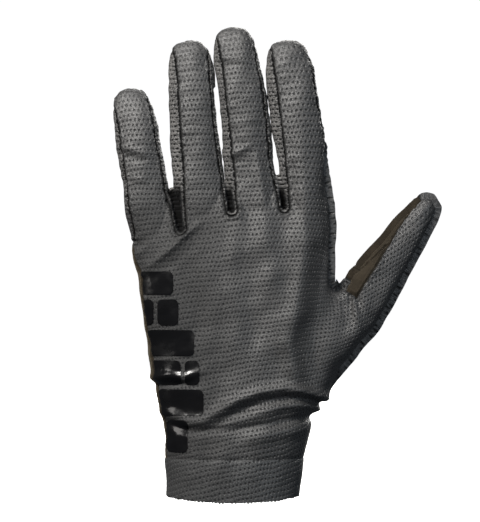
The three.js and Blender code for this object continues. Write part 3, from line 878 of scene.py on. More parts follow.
def tip_share(points: np.ndarray) -> np.ndarray:
    """How far up its finger or thumb each point is, and 0 on the hand.

    Args:
        points: The cloth's points.

    Returns:
        Their shares of its length.
    """
    share = np.zeros(len(points))
    for digit in (*FINGERS, THUMB):
        flat = points[:, [0, 2]] - np.array([digit.x, digit.z])
        beside = np.abs(flat @ digit.across) < 0.62 * digit.width
        share = np.where(beside, np.maximum(share, flat @ digit.along / digit.length), share)
    return share


@dataclass
class Cutter:
    """Cuts a form into labelled panels along the zero lines of fields."""

    shape: bmesh.types.BMesh
    labels: dict[int, Panel] = field(default_factory=lambda: dict(enumerate(Panel)))
    snap: float = 0.12

    def cut(self, source: Panel, target: Panel, value: Field) -> set[bmesh.types.BMVert]:
        """Gives the part of a panel where a field is positive to another panel.

        Args:
            source: The panel that is cut.
            target: The panel that gets the part.
            value: The field, in millimetres.

        Returns:
            The points on the line of the cut.
        """
        numbers = {panel: number for number, panel in self.labels.items()}
        layer = self.shape.faces.layers.int["panel"]
        faces = [f for f in self.shape.faces if f[layer] == numbers[source]]
        verts = list({v for f in faces for v in f.verts})
        points = np.array([v.co for v in verts]) / MM
        worth = dict(zip(verts, value(points)))
        edges = {e for f in faces for e in f.edges}
        for edge in edges:
            a, b = edge.verts
            if worth[a] * worth[b] >= 0:
                continue
            share = worth[a] / (worth[a] - worth[b])
            if share < self.snap:
                worth[a] = 0.0
            elif share > 1 - self.snap:
                worth[b] = 0.0
        on_line = {v for v in verts if worth[v] == 0.0}
        for edge in edges:
            a, b = edge.verts
            if worth[a] * worth[b] >= 0:
                continue
            share = worth[a] / (worth[a] - worth[b])
            _, new = bmesh.utils.edge_split(edge, a, share)
            worth[new] = 0.0
            on_line.add(new)
        bmesh.ops.connect_verts(self.shape, verts=list(on_line))
        for f in self.shape.faces:
            if f[layer] != numbers[source]:
                continue
            total = sum(worth.get(v, 0.0) for v in f.verts)
            if total > 0:
                f[layer] = numbers[target]
        return on_line


def ripple(
    points: np.ndarray, turn: float, sizes: tuple[float, float, float], seed: float
) -> np.ndarray:
    """Finds low wrinkles that run along one direction.

    Args:
        points: The cloth's points.
        turn: The direction's rise to the right, in degrees.
        sizes: The wrinkles' length, depth and width.
        seed: Moves the pattern, for another set of wrinkles.

    Returns:
        Values around 0, mostly within -0.5 and 0.5.
    """
    angle = math.radians(turn)
    x = points[:, 0] * math.cos(angle) + points[:, 2] * math.sin(angle)
    z = points[:, 2] * math.cos(angle) - points[:, 0] * math.sin(angle)
    places = np.stack([x / sizes[0] + seed, points[:, 1] / sizes[1], z / sizes[2]], 1)
    return np.array([noise.noise(Vector(place)) for place in places])


def pit_share(points: np.ndarray, normals: np.ndarray, away: np.ndarray) -> np.ndarray:
    """How deep the cloth is drawn in at the roots of the fingers, from 0 to 1.

    Args:
        points: The points of the smooth form.
        normals: Their outward directions.
        away: Their distances from the nearest seam.

    Returns:
        The share of the full depth at each point.
    """
    low = 1 - smooth_step(points[:, 2], 142, 156)
    return smooth_step(away, 1.0, 2.0) * low * smooth_step(-normals[:, 1], -0.25, 0.2)


@dataclass(frozen=True)
class Contact:
    """A line between two fingers, across which their cloth is pushed apart."""

    x: float
    z: float
    slope: float
    push: float
    start: tuple[float, float]
    end: tuple[float, float]

    def move(self, laid: np.ndarray, height: np.ndarray) -> None:
        """Moves the cloth near the line, or draws it together for a push under 0.

        Args:
            laid: The cloth's points, which are changed.
            height: Their heights on the smooth form.
        """
        near = laid[:, 0] - self.x + (height - self.z) * self.slope
        share = smooth_step(height, *self.start) * (1 - smooth_step(height, *self.end))
        laid[:, 0] += np.sign(near) * self.push * np.exp(-((near / 3) ** 2)) * share


# The middle and index fingers touch, and the ring and middle fingers stay clear.
CONTACTS = (
    Contact(20.6, 170, 0.19, -0.55, (166, 176), (194, 204)),
    Contact(-8.2, 194, 0.12, 0.4, (160, 176), (204, 212)),
)

# How strongly the folds are laid, the height of the crease over the cuff, the long
# ridge's heights and x, how steeply the back turns away beyond it, how deep the
# seams lie, and how deep the cloth is drawn in at the roots of the fingers.
FOLD_STRENGTH = 1.15
CUFF_CREASE = 21.2
RIDGE_LINE = ((50, 75, 100, 125, 180), (31, 27, 31, 34, 33))
RIDGE_SLOPE = 0.27
SEAM_DEPTH = 0.7
PIT_DEPTH = 6.5


def lay_cloth(
    points: np.ndarray, normals: np.ndarray, away: np.ndarray, in_web: np.ndarray
) -> np.ndarray:
    """Lays the rolls, creases, wrinkles and seam valleys on the cloth.

    Args:
        points: The points of the smooth form.
        normals: Their outward directions.
        away: Their distances from the nearest seam.
        in_web: Which of them lie in a piece between two fingers.

    Returns:
        Where the points lie on the folded cloth.
    """
    x, _, z = points.T
    facing = -normals[:, 1]
    rise = FOLD_STRENGTH * sum(fold.push(points, facing) for fold in FOLDS + PALM_FOLDS)
    finger = smooth_step(z, 140, 160)
    rise += ripple(points, 4, (9, 7, 3.1), 3.1) * (0.08 + 0.28 * finger)
    rise += ripple(points, 14, (26, 20, 8), 7.7) * 0.5 * (1 - finger)
    rise += ripple(points, 75, (26, 16, 10), 21.3) * 1.1
    rise -= 0.4 * np.exp(-((z - CUFF_CREASE) ** 2)) * (0.4 + 0.6 * (facing > 0.2))
    rise += ripple(points, 0, (2.3, 2.3, 1.8), 5.5) * 0.8 * np.exp(-((away / 2.4) ** 2))
    # Right of the long ridge the back turns away to the index finger's side.
    beyond = np.clip(x - np.interp(z, *RIDGE_LINE), 0, 12)
    turned = smooth_step(z, 52, 66) * (1 - smooth_step(z, 150, 185)) * (facing > 0)
    rise -= RIDGE_SLOPE * beyond * turned
    calm = 1 - 0.85 * smooth_step(tip_share(points), 0.88, 0.97)
    rise -= SEAM_DEPTH * calm * np.exp(-((away / 0.95) ** 2))
    laid = points + normals * rise[:, None]
    laid[:, 1] += pit_share(points, normals, away) * in_web * PIT_DEPTH
    for contact in CONTACTS:
        contact.move(laid, z)
    return laid


def build_panels(form: bpy.types.Object, pattern: Pattern) -> dict[Panel, bpy.types.Object]:
    """Cuts the form into its panels.

    Args:
        form: The smooth form of the whole glove.
        pattern: Where it is cut.

    Returns:
        Each panel's open sheet, by panel.
    """
    shape = bmesh.new()
    shape.from_mesh(form.data)
    shape.faces.layers.int.new("panel")
    for name in ("seam_gap", "pit_shade", "tip"):
        shape.verts.layers.float.new(name)
    shape.verts.layers.float_vector.new("laid")
    cutter = Cutter(shape)
    for source, target, value in pattern.cuts():
        cutter.cut(source, target, value)
    line = cutter.cut(Panel.CUFF, Panel.CUFF, lambda points: points[:, 0])
    for edge in shape.edges:
        edge.seam = all(v in line and v.co.y > 0 for v in edge.verts)
    LOG.info("cut")
    layer = shape.faces.layers.int["panel"]
    numbers = {panel: number for number, panel in cutter.labels.items()}
    no_seam = {numbers[panel] for panel in (Panel.BODY, Panel.WASTE, Panel.CUFF)}
    seam_points = [
        tuple(v.co)
        for v in shape.verts
        if not {f[layer] for f in v.link_faces} & no_seam and len({f[layer] for f in v.link_faces}) > 1
    ]
    tree = kdtree.KDTree(len(seam_points))
    for i, co in enumerate(seam_points):
        tree.insert(co, i)
    tree.balance()
    spot = shape.verts.layers.float_vector["laid"]
    gap, depth, tip = (shape.verts.layers.float[name] for name in ("seam_gap", "pit_shade", "tip"))
    shape.normal_update()
    verts = list(shape.verts)
    for v in verts:
        v[gap] = tree.find(v.co)[2] / MM
    points = np.array([v.co for v in verts]) / MM
    normals = np.array([v.normal for v in verts])
    away = np.array([v[gap] for v in verts])
    webs = {number for number, panel in cutter.labels.items() if panel in WEB_PANELS}
    in_web = np.array([bool(v.link_faces) and v.link_faces[0][layer] in webs for v in verts])
    for v, place in zip(verts, lay_cloth(points, normals, away, in_web)):
        v[spot] = Vector(place * MM)
    # The pit share is also stored on the points, where the knit paints shade black into the pits at
    # the roots of the fingers.
    for v, share in zip(verts, pit_share(points, normals, away) * in_web):
        v[depth] = share
    for v, share in zip(verts, tip_share(points)):
        v[tip] = share
    panels = {}
    for panel, number in numbers.items():
        if panel in (Panel.BODY, Panel.WASTE):
            continue
        part = shape.copy()
        part_layer = part.faces.layers.int["panel"]
        others = [f for f in part.faces if f[part_layer] != number]
        bmesh.ops.delete(part, geom=others, context="FACES")
        panels[panel] = piece_from(part, panel.value + "_cloth")
        LOG.info("%s: %d faces", panels[panel].name, len(panels[panel].data.polygons))
    shape.free()
    return panels


class Wiring:
    """Wires the nodes of one material."""

    def __init__(self, name: str) -> None:
        """Starts an empty material.

        Args:
            name: The material's name.
        """
        self.material = bpy.data.materials.new(name)
        self.material.use_nodes = True
        self.tree = self.material.node_tree
        self.tree.nodes.clear()

    def node(self, kind: str, **settings: object) -> bpy.types.Node:
        """Adds a shader node and sets its options.

        Args:
            kind: The node's type, without ShaderNode.
            settings: Its options.

        Returns:
            The node.
        """
        node = self.tree.nodes.new("ShaderNode" + kind)
        for name, value in settings.items():
            setattr(node, name, value)
        return node

    def feed(self, socket: bpy.types.NodeSocket, value: object) -> None:
        """Links a socket to another, or sets its value.

        Args:
            socket: The input.
            value: An output, or a plain value.
        """
        if isinstance(value, bpy.types.NodeSocket):
            self.tree.links.new(value, socket)
        else:
            socket.default_value = value

    def math(self, operation: str, a: object, b: object = 0.0) -> bpy.types.NodeSocket:
        """Adds a math node.

        Args:
            operation: What it does.
            a: Its first input.
            b: Its second input.

        Returns:
            Its output.
        """
        node = self.node("Math", operation=operation)
        for socket, value in zip(node.inputs, (a, b)):
            self.feed(socket, value)
        return node.outputs[0]

    def vector(self, operation: str, a: object, b: object = (0, 0, 0)) -> bpy.types.NodeSocket:
        """Adds a vector math node.

        Args:
            operation: What it does.
            a: Its first input.
            b: Its second input.

        Returns:
            Its output.
        """
        node = self.node("VectorMath", operation=operation)
        self.feed(node.inputs[0], a)
        self.feed(node.inputs[1], b)
        return node.outputs[0]

    def step(
        self, value: object, low: float, high: float, start: float = 0.0, end: float = 1.0
    ) -> bpy.types.NodeSocket:
        """Takes a value smoothly from start at low to end at high.

        Args:
            value: The value.
            low: Where it starts to change.
            high: Where it ends.
            start: What comes out up to low.
            end: What comes out from high on.

        Returns:
            What comes out.
        """
        node = self.node("MapRange", interpolation_type="SMOOTHSTEP")
        for socket, given in zip(node.inputs, (value, low, high, start, end)):
            self.feed(socket, given)
        return node.outputs[0]

    def noise(
        self, place: object, scale: float, detail: float = 2.0, rough: float = 0.5
    ) -> bpy.types.NodeSocket:
        """Adds a noise of values around a half.

        Args:
            place: The places to read it at.
            scale: How fine it is.
            detail: How many finer layers it has.
            rough: How strong the finer layers are.

        Returns:
            The noise's value.
        """
        node = self.node("TexNoise")
        self.feed(node.inputs["Vector"], place)
        self.feed(node.inputs["Scale"], scale)
        self.feed(node.inputs["Detail"], detail)
        self.feed(node.inputs["Roughness"], rough)
        return node.outputs["Fac"]

    def mix(self, share: object, a: object, b: object) -> bpy.types.NodeSocket:
        """Mixes two colours.

        Args:
            share: How much of the second.
            a: The first colour.
            b: The second colour.

        Returns:
            The mix.
        """
        node = self.node("Mix", data_type="RGBA")
        self.feed(node.inputs["Factor"], share)
        self.feed(node.inputs[6], a)
        self.feed(node.inputs[7], b)
        return node.outputs[2]

    def bump(self, height: object, distance: float) -> bpy.types.NodeSocket:
        """Turns a height into a normal.

        Args:
            height: The height.
            distance: How far a height of 1 stands up, in metres.

        Returns:
            The normal.
        """
        node = self.node("Bump")
        self.feed(node.inputs["Height"], height)
        self.feed(node.inputs["Distance"], distance)
        return node.outputs[0]

    def surface(self, **sockets: object) -> bpy.types.Material:
        """Ends the material in a shader with the given sockets.

        Args:
            sockets: The shader's inputs, with _ for spaces.

        Returns:
            The material.
        """
        shader = self.node("BsdfPrincipled")
        for name, value in sockets.items():
            self.feed(shader.inputs[name.replace("_", " ")], value)
        output = self.node("OutputMaterial")
        self.feed(output.inputs["Surface"], shader.outputs[0])
        return self.material


@dataclass(frozen=True)
class PerforatedKnit:
    """A thin knit with rows of punched holes, which follow its flat pattern."""

    name: str
    cloth: tuple[float, float, float, float]
    light: tuple[float, float, float, float]
    hole: tuple[float, float, float, float]
    rise: float = 6.0
    pitch: float = 1.98
    row: float = 2.36
    hole_wide: float = 0.68
    hole_high: float = 0.82
    hole_deep: float = 0.5
    dimple: float = 0.06
    bead: float = 0.0
    roughness: float = 0.46
    gloss: float = 0.78
    sheen: float = 0.04

    def holes(self, w: Wiring, pattern: bpy.types.NodeSocket) -> bpy.types.NodeSocket:
        """Measures how far each place is from its nearest hole, in hole widths.

        Args:
            w: The material's wiring.
            pattern: The places on the flat pattern.

        Returns:
            The distance.
        """
        turn = w.node("Mapping")
        w.feed(turn.inputs["Vector"], pattern)
        w.feed(turn.inputs["Rotation"], (0, 0, -math.radians(self.rise)))
        waver = w.node("TexNoise")
        w.feed(waver.inputs["Vector"], pattern)
        w.feed(waver.inputs["Scale"], 0.09)
        drift = w.vector("SUBTRACT", waver.outputs["Color"], (0.5, 0.5, 0.5))
        drift = w.vector("MULTIPLY", drift, (2.4, 2.4, 0))
        place = w.node("SeparateXYZ")
        w.feed(place.inputs[0], w.vector("ADD", turn.outputs[0], drift))
        rows = w.math("DIVIDE", place.outputs[1], self.row)
        odd = w.math("FLOORED_MODULO", w.math("FLOOR", rows), 2.0)
        cells = w.math("DIVIDE", place.outputs[0], self.pitch)
        cells = w.math("ADD", cells, w.math("MULTIPLY", odd, 0.5))
        across = w.math("SUBTRACT", w.math("FRACT", cells), 0.5)
        across = w.math("MULTIPLY", across, self.pitch / self.hole_wide)
        along = w.math("SUBTRACT", w.math("FRACT", rows), 0.5)
        along = w.math("MULTIPLY", along, self.row / self.hole_high)
        square = w.math("ADD", w.math("MULTIPLY", across, across), w.math("MULTIPLY", along, along))
        return w.math("SQRT", square)

    def make(self) -> bpy.types.Material:
        """Makes the material.

        Returns:
            The material.
        """
        w = Wiring(self.name)
        pattern = w.node("UVMap", uv_map="cloth").outputs[0]
        away = self.holes(w, pattern)
        gap = w.node("Attribute", attribute_name="seam_gap").outputs["Fac"]
        tip = w.node("Attribute", attribute_name="tip").outputs["Fac"]
        plain = w.math("MULTIPLY", w.step(gap, 0.7, 1.2), w.step(tip, 0.6, 1.0, 1.0, 0.5))
        hole = w.math("MULTIPLY", w.step(away, 0.58, 0.3), plain)
        rim = w.math("MULTIPLY", w.step(away, 0.85, 0.35), plain)
        grain = w.noise(pattern, 1.4, 3.0, 0.9)
        blotch = w.noise(pattern, 0.06, 2.0)
        speckle = w.step(grain, 0.42, 0.58, -0.1, 1.3)
        tone = w.math("ADD", speckle, w.step(blotch, 0.3, 0.7, -0.1, 0.3))
        # Painted shade: the knit is darker, and a little rougher, on the left of the hand below the
        # knuckles, by a fixed gradient in place.
        place = w.node("SeparateXYZ")
        w.feed(place.inputs[0], w.node("TexCoord").outputs["Object"])
        to_left = w.step(place.outputs[0], 0.014, -0.018)
        left_painted_shade = w.math("MULTIPLY", to_left, w.step(place.outputs[2], 0.16, 0.13))
        tone = w.math("MULTIPLY", tone, w.math("SUBTRACT", 1.0, w.math("MULTIPLY", left_painted_shade, 0.7)))
        sheer = w.step(grain, 0.35, 0.65, self.roughness + 0.14, self.roughness)
        sheer = w.math("ADD", sheer, w.math("MULTIPLY", left_painted_shade, 0.2))
        knit = w.mix(tone, self.cloth, self.light)
        # Painted shade: the knit turns black in the pits at the roots of the fingers, by the stored
        # pit share.
        shade = w.node("Attribute", attribute_name="pit_shade").outputs["Fac"]
        # Along the seams the knit also turns black, with a noisy edge: partly the dark seam joint,
        # partly painted shade in the seam valley.
        seam_shade_reach = w.math("ADD", gap, w.step(w.noise(pattern, 0.9, 3.0), 0.3, 0.7, -0.45, 0.3))
        dark = w.math("MAXIMUM", w.step(seam_shade_reach, 0.4, 1.05, 1.0, 0.0), w.step(shade, 0.1, 0.6))
        knit = w.mix(dark, knit, (0.001, 0.001, 0.001, 1))
        dimple = w.math("MULTIPLY", w.step(away, 0.45, 1.35), self.dimple)
        height = w.math("ADD", dimple, w.math("MULTIPLY", grain, 0.2))
        height = w.math("SUBTRACT", height, w.math("MULTIPLY", rim, self.hole_deep))
        pucker = w.math("MULTIPLY", w.noise(pattern, 0.75, 2.0), w.step(gap, 3.0, 0.8, 0.0, 1.1))
        height = w.math("ADD", height, pucker)
        if self.bead > 0:
            ridge = w.math("MULTIPLY", w.step(gap, 0.4, 1.1), w.step(gap, 2.1, 1.3))
            height = w.math("ADD", height, w.math("MULTIPLY", ridge, self.bead))
        return w.surface(
            Base_Color=w.mix(hole, knit, self.hole),
            Roughness=w.math("MAXIMUM", w.math("MAXIMUM", hole, dark), sheer),
            Specular_IOR_Level=self.gloss,
            Sheen_Weight=self.sheen,
            Sheen_Roughness=0.45,
            Sheen_Tint=(0.75, 0.76, 0.8, 1),
            Normal=w.bump(height, MM),
        )


@dataclass(frozen=True)
class Suede:
    """Soft synthetic suede with a short nap."""

    name: str = "suede"
    dark: tuple[float, float, float, float] = (0.013, 0.0098, 0.006, 1)
    light: tuple[float, float, float, float] = (0.036, 0.028, 0.018, 1)

    def make(self) -> bpy.types.Material:
        """Makes the material.

        Returns:
            The material.
        """
        w = Wiring(self.name)
        place = w.node("TexCoord").outputs["Object"]
        nap = w.noise(place, 2600, 3.0, 0.6)
        brushed = w.noise(place, 160, 3.0, 0.55)
        gap = w.node("Attribute", attribute_name="seam_gap").outputs["Fac"]
        tone = w.math("ADD", w.step(nap, 0.3, 0.7, 0.0, 0.5), w.step(brushed, 0.3, 0.7, 0.0, 0.5))
        # The suede is darker towards its seams: partly the dark seam joint, partly painted shade in
        # the seam valley.
        tone = w.math("MULTIPLY", tone, w.step(gap, 0.0, 0.8, 0.1, 1.0))
        bead = w.math("MULTIPLY", w.step(gap, 0.4, 1.2), w.step(gap, 2.2, 1.4))
        height = w.math("ADD", w.math("MULTIPLY", brushed, 0.3), w.math("MULTIPLY", bead, 0.3))
        height = w.math("ADD", w.math("MULTIPLY", nap, 0.2), height)
        return w.surface(
            Base_Color=w.mix(tone, self.dark, self.light),
            Roughness=0.9,
            Specular_IOR_Level=0.2,
            Sheen_Weight=0.15,
            Sheen_Roughness=0.5,
            Sheen_Tint=(0.8, 0.68, 0.5, 1),
            Normal=w.bump(height, MM),
        )


@dataclass(frozen=True)
class GlossFilm:
    """Printed glossy film with small creases."""

    name: str = "gloss_film"
    black: tuple[float, float, float, float] = (0.0045, 0.0045, 0.005, 1)

    def make(self) -> bpy.types.Material:
        """Makes the material.

        Returns:
            The material.
        """
        w = Wiring(self.name)
        place = w.node("TexCoord").outputs["Object"]
        ripple = w.noise(place, 130, 2.0)
        crease = w.noise(place, 420, 3.0)
        worn = w.step(w.noise(place, 90, 3.0), 0.4, 0.7, 0.17, 0.34)
        height = w.math("ADD", w.math("MULTIPLY", ripple, 0.5), w.math("MULTIPLY", crease, 0.06))
        return w.surface(
            Base_Color=self.black,
            Roughness=worn,
            Specular_IOR_Level=0.4,
            Normal=w.bump(height, MM),
        )


@dataclass(frozen=True)
class PanelFacts:
    """What a finished panel is made from."""

    node: str
    slot: str
    wall: float = 1.1
    proud: float = 0.0
    strip: tuple[float, float] | None = None


@dataclass(frozen=True)
class Block:
    """A rounded block of film, by its sides as seen from the back."""

    left: float
    right: float
    bottom: float
    top: float
    corner: float = 2.2

    def field(self, points: np.ndarray) -> np.ndarray:
        """The signed distance to the block's outline, positive inside.

        Args:
            points: The points to read it at.

        Returns:
            The distances.
        """
        middle = np.array([(self.left + self.right) / 2, (self.bottom + self.top) / 2])
        half = np.array([(self.right - self.left) / 2, (self.top - self.bottom) / 2])
        beyond = np.abs(points[:, [0, 2]] - middle) - half + self.corner
        outside = np.hypot(*np.maximum(beyond, 0).T)
        return self.corner - outside - np.minimum(beyond.max(1), 0)


BLOCKS = (
    Block(-44.5, -28.5, 99.45, 110.47),
    Block(-43.0, -37.88, 84.92, 97.16),
    Block(-35.88, -26.0, 84.92, 97.16),
    Block(-41.0, -18.5, 70.38, 82.62),
    Block(-39.0, -24.82, 56.61, 68.09),
    Block(-22.82, -16.0, 56.61, 68.09),
    Block(-35.5, -14.0, 42.08, 54.32),
    Block(-31.5, -21.5, 24.48, 39.78),
)


@dataclass
class Sewing:
    """Finishes cut sheets: their flat pattern, thickness, finish and place."""

    finishes: dict[str, bpy.types.Material]
    film_lift: float = 0.42
    film_wall: float = 0.36

    def unwrap(
        self, piece: bpy.types.Object, facing: int, strip: bool
    ) -> tuple[float, float, float]:
        """Lays a sheet out flat, in millimetres, with its rows level.

        Args:
            piece: The open sheet.
            facing: -1 if it is seen from the back of the hand, 1 from the palm.
            strip: Whether its rows run straight across the sides of two fingers.

        Returns:
            The flat pattern's width, length and area, in metres.
        """
        activate(piece)
        bpy.ops.object.mode_set(mode="EDIT")
        bpy.ops.mesh.select_all(action="SELECT")
        bpy.ops.uv.unwrap(method="ANGLE_BASED", fill_holes=False, correct_aspect=False, margin=0.0)
        bpy.ops.object.mode_set(mode="OBJECT")
        mesh = piece.data
        layer = mesh.uv_layers.active
        layer.name = "cloth"
        flat = read_all(layer.data, "uv", 2).astype(float)
        corner = read_all(mesh.loops, "vertex_index", 1, np.int32)[:, 0]
        points, normals = points_of(mesh), normals_of(mesh)
        weight = np.clip(facing * normals[corner, 1], 0, 1)
        u = flat[:, 0] + 1j * flat[:, 1]
        aim = -facing * points[corner, 0] + 1j * points[corner, 2]
        u_mid, aim_mid = np.average(u, weights=weight), np.average(aim, weights=weight)
        turn = np.sum(weight * np.conj(u - u_mid) * (aim - aim_mid))
        mesh.calc_loop_triangles()
        triangles = read_all(mesh.loop_triangles, "loops", 3, np.int32)
        a, b, c = (points[corner[triangles[:, i]]] for i in range(3))
        area = np.linalg.norm(np.cross(b - a, c - a), axis=1).sum() / 2
        p, q, r = (u[triangles[:, i]] for i in range(3))
        laid = np.abs(np.imag(np.conj(q - p) * (r - p))).sum() / 2
        u = (u - u_mid) * turn / abs(turn) * math.sqrt(area / laid) + aim_mid
        if strip:
            u = points[corner, 1] * np.sign(normals[corner, 0]) + 1j * points[corner, 2]
        layer.data.foreach_set("uv", np.stack([u.real, u.imag], 1).astype(np.float32).ravel())
        return np.ptp(u.real) * MM, np.ptp(u.imag) * MM, area * MM * MM

    def lay(self, piece: bpy.types.Object) -> None:
        """Moves a sheet from the smooth form to its folded place.

        Args:
            piece: The open sheet.
        """
        mesh = piece.data
        laid = read_all(mesh.attributes["laid"].data, "vector", 3)
        mesh.vertices.foreach_set("co", laid.ravel())
        mesh.attributes.remove(mesh.attributes["laid"])
        mesh.update()

    def thicken(self, piece: bpy.types.Object, wall: float, proud: float) -> None:
        """Gives a sheet its wall, inwards from its face, which stands proud.

        Args:
            piece: The open sheet.
            wall: Its thickness.
            proud: How far its face moves out first.
        """
        points = points_of(piece.data) + normals_of(piece.data) * proud
        set_points(piece.data, points)
        activate(piece)
        shell = piece.modifiers.new("wall", "SOLIDIFY")
        shell.thickness = wall * MM
        shell.offset = -1
        shell.use_rim = True
        bpy.ops.object.modifier_apply(modifier=shell.name)

    def finish(self, piece: bpy.types.Object, facts: PanelFacts, name: str) -> None:
        """Gives a piece its finish and puts it in its node's place.

        Args:
            piece: The piece.
            facts: What it is made from.
            name: Its name.
        """
        piece.name = name
        piece.data.materials.clear()
        piece.data.materials.append(self.finishes[facts.slot])
        activate(piece)
        bpy.ops.object.shade_smooth_by_angle(angle=math.radians(60))
        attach(piece, "root")
        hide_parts(facts.node)

    def panel(self, piece: bpy.types.Object, facts: PanelFacts, facing: int) -> None:
        """Finishes one panel of cloth.

        Args:
            piece: The open sheet.
            facts: What it is made from.
            facing: -1 if it is seen from the back of the hand, 1 from the palm.
        """
        width, length, area = self.unwrap(piece, facing, facts.strip is not None)
        self.lay(piece)
        if facts.strip:
            width, length = facts.strip[0] * MM, facts.strip[1] * MM
        if facts.node == "back_panel":
            for number, block in enumerate(BLOCKS, 1):
                self.film(piece, block, number)
        self.thicken(piece, facts.wall, facts.proud)
        self.finish(piece, facts, facts.node + "_cloth")
        min(area, width * length)
        size = (piece.name, width / MM, length / MM, area * 1e4)
        LOG.info("%s: flat %.1f x %.1f mm, %.1f cm2", *size)

    def film(self, back: bpy.types.Object, block: Block, number: int) -> None:
        """Makes one block of printed film from the cloth under it.

        Args:
            back: The back panel's open sheet.
            block: The block's outline.
            number: Its number, for its node's name.
        """
        shape = bmesh.new()
        shape.from_mesh(back.data)
        far = []
        for face in shape.faces:
            spot = face.calc_center_median() / MM
            beside = block.left - 3 < spot.x < block.right + 3
            level = block.bottom - 3 < spot.z < block.top + 3
            if not (beside and level) or spot.y > 6:
                far.append(face)
        bmesh.ops.delete(shape, geom=far, context="FACES")
        layer = shape.faces.layers.int["panel"]
        cutter = Cutter(shape, labels={0: Panel.BODY, 1: Panel.BACK})
        for face in shape.faces:
            face[layer] = 0
        cutter.cut(Panel.BODY, Panel.BACK, block.field)
        bmesh.ops.delete(shape, geom=[f for f in shape.faces if f[layer] == 0], context="FACES")
        shape.normal_update()
        for vert in shape.verts:
            vert.co += vert.normal * self.film_lift * MM
        piece = piece_from(shape, "film")
        self.thicken(piece, self.film_wall, 0.0)
        facts = PanelFacts(f"print_block_{number}", "print")
        self.finish(piece, facts, facts.node + "_film")
        LOG.info("%s: %d faces", piece.name, len(piece.data.polygons))


PANEL_FACTS = {
    Panel.CUFF: PanelFacts("cuff_band", "cuff_mesh", 1.9, 0.2),
    Panel.BACK: PanelFacts("back_panel", "mesh"),
    Panel.PALM: PanelFacts("palm_panel", "suede"),
    Panel.LITTLE_OUTER: PanelFacts("little_outer_strip", "fourchette_mesh"),
    Panel.LITTLE_RING: PanelFacts("little_ring_fourchette", "fourchette_mesh", strip=(20, 150)),
    Panel.RING_MIDDLE: PanelFacts("ring_middle_fourchette", "fourchette_mesh", strip=(16, 170)),
    Panel.MIDDLE_INDEX: PanelFacts("middle_index_fourchette", "fourchette_mesh", strip=(18, 165)),
    Panel.INDEX_OUTER: PanelFacts("index_outer_strip", "fourchette_mesh"),
    Panel.THUMB: PanelFacts("thumb_front", "suede"),
    Panel.WEB: PanelFacts("thumb_web_gusset", "suede"),
}


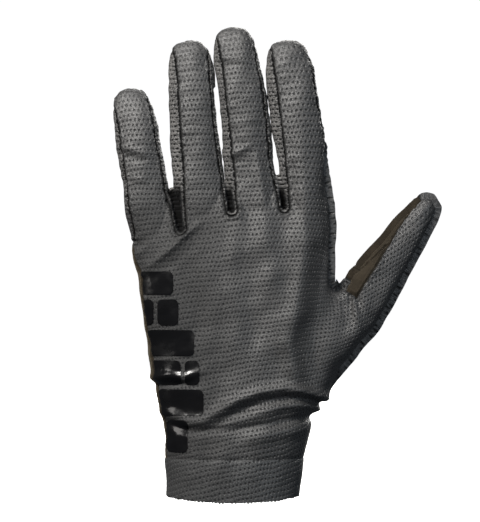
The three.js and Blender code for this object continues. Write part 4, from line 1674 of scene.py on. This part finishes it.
@dataclass(frozen=True)
class Studio:
    """The camera at the photograph's angle, a pale floor and soft light."""

    distance: float = 1.6
    height: float = 0.11544
    aside: float = 0.00336
    lens: float = 229.9
    floor: float = -0.013

    def set_camera(self) -> None:
        """Places the camera level, straight in front of the hand's back."""
        bpy.ops.object.camera_add(
            location=(self.aside, -self.distance, self.height),
            rotation=(math.pi / 2, 0, 0),
        )
        camera = bpy.context.object
        camera.name = "camera"
        camera.data.lens = self.lens
        camera.data.sensor_width = 36
        camera.data.clip_end = 30
        bpy.context.scene.camera = camera
        bpy.context.scene.view_settings.view_transform = "Standard"

    def set_floor(self) -> None:
        """Makes a pale floor that sweeps up behind the glove."""
        deselect_all()
        bpy.ops.mesh.primitive_circle_add(
            vertices=96, radius=5, fill_type="NGON", location=(0, 0, self.floor)
        )
        sweep = bpy.context.object
        sweep.name = "floor_sweep"
        bpy.ops.object.mode_set(mode="EDIT")
        bpy.ops.mesh.select_mode(type="EDGE")
        bpy.ops.mesh.select_all(action="SELECT")
        bpy.ops.mesh.region_to_loop()
        bpy.ops.mesh.extrude_edges_move(TRANSFORM_OT_translate={"value": (0, 0, 4)})
        shape = bmesh.from_edit_mesh(sweep.data)
        for edge in shape.edges:
            edge.select_set(all(v.co.z < 1 for v in edge.verts))
        bpy.ops.mesh.bevel(offset=1.5, segments=16, affect="EDGES")
        bpy.ops.object.mode_set(mode="OBJECT")
        bpy.ops.object.transform_apply(location=True)
        bpy.ops.object.shade_smooth()
        w = Wiring("pale_floor")
        place = w.node("TexCoord").outputs["Object"]
        sweep.data.materials.append(
            w.surface(
                Base_Color=w.mix(w.noise(place, 3.0), (0.9, 0.9, 0.9, 1), (0.93, 0.93, 0.93, 1)),
                Roughness=0.9,
                Specular_IOR_Level=0.1,
                Emission_Color=(1, 1, 1, 1),
                Emission_Strength=0.95,
            )
        )
        sweep.visible_diffuse = False
        sweep.visible_glossy = False

    def add_light(
        self,
        name: str,
        place: tuple[float, float, float],
        size: float,
        power: float,
        tint: tuple[float, float, float],
    ) -> None:
        """Adds a square soft light that looks at the middle of the glove.

        Args:
            name: The light's name.
            place: Where it stands, in metres.
            size: Its side, in metres.
            power: Its power, in watts.
            tint: Its colour.
        """
        aim = Vector((0.0, 0.0, 0.11)) - Vector(place)
        turn = aim.to_track_quat("-Z", "Y").to_euler()
        bpy.ops.object.light_add(type="AREA", location=place, rotation=turn)
        light = bpy.context.object
        light.name = name
        light.data.size = size
        light.data.energy = power
        light.data.color = tint

    def set_lights(self) -> None:
        """Lights the glove from the left front, with weak fill."""
        self.add_light("key", (-0.36, -0.68, 0.8), 0.24, 15.8, (1.0, 0.975, 0.94))
        self.add_light("side", (-1.1, -0.3, 0.6), 0.5, 4, (1.0, 0.97, 0.93))
        self.add_light("fill", (1.4, -1.4, 0.5), 1.2, 11, (0.82, 0.91, 1.0))
        self.add_light("top", (-0.15, -0.2, 1.6), 0.6, 5, (1.0, 1.0, 1.0))
        self.add_light("behind", (0.5, 1.6, 0.9), 1.2, 45, (1.0, 0.98, 0.95))
        world = bpy.data.worlds.new("soft_room")
        bpy.context.scene.world = world
        world.use_nodes = True
        world.node_tree.nodes["Background"].inputs[0].default_value = (0.82, 0.9, 1, 1)
        world.node_tree.nodes["Background"].inputs[1].default_value = 0.05


def main() -> None:
    """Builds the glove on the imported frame."""
    logging.basicConfig(level=logging.INFO, format="%(name)s %(relativeCreated)d ms: %(message)s")
    studio = Studio()
    studio.set_camera()
    studio.set_floor()
    studio.set_lights()
    hand = HandForm()
    form = hand.build()
    LOG.info("form: %d points", len(form.data.vertices))
    panels = build_panels(form, Pattern(hand))
    bpy.data.objects.remove(form)
    finishes = {
        "mesh": PerforatedKnit(
            "knit", (0.003, 0.003, 0.0032, 1), (0.056, 0.055, 0.0545, 1), (0.012, 0.0125, 0.013, 1)
        ).make(),
        # Painted light: the side knit's colours are much lighter than the back's knit, to stand for
        # the light on the strips between the fingers, which are the same knit.
        "fourchette_mesh": PerforatedKnit(
            "side_knit_painted_light",
            (0.02, 0.02, 0.0202, 1),
            (0.18, 0.176, 0.172, 1),
            (0.006, 0.006, 0.0065, 1),
            rise=0.0,
            pitch=2.3,
            row=2.1,
            hole_wide=1.25,
            hole_high=0.85,
            bead=0.4,
            gloss=0.2,
        ).make(),
        "cuff_mesh": PerforatedKnit(
            "cuff_knit",
            (0.003, 0.0032, 0.0035, 1),
            (0.056, 0.057, 0.058, 1),
            (0.014, 0.0145, 0.0155, 1),
            rise=12.0,
        ).make(),
        "suede": Suede().make(),
        "print": GlossFilm().make(),
    }
    sewing = Sewing(finishes)
    for panel, facts in PANEL_FACTS.items():
        sewing.panel(panels[panel], facts, 1 if panel is Panel.PALM else -1)


if __name__ == "__main__":
    main()
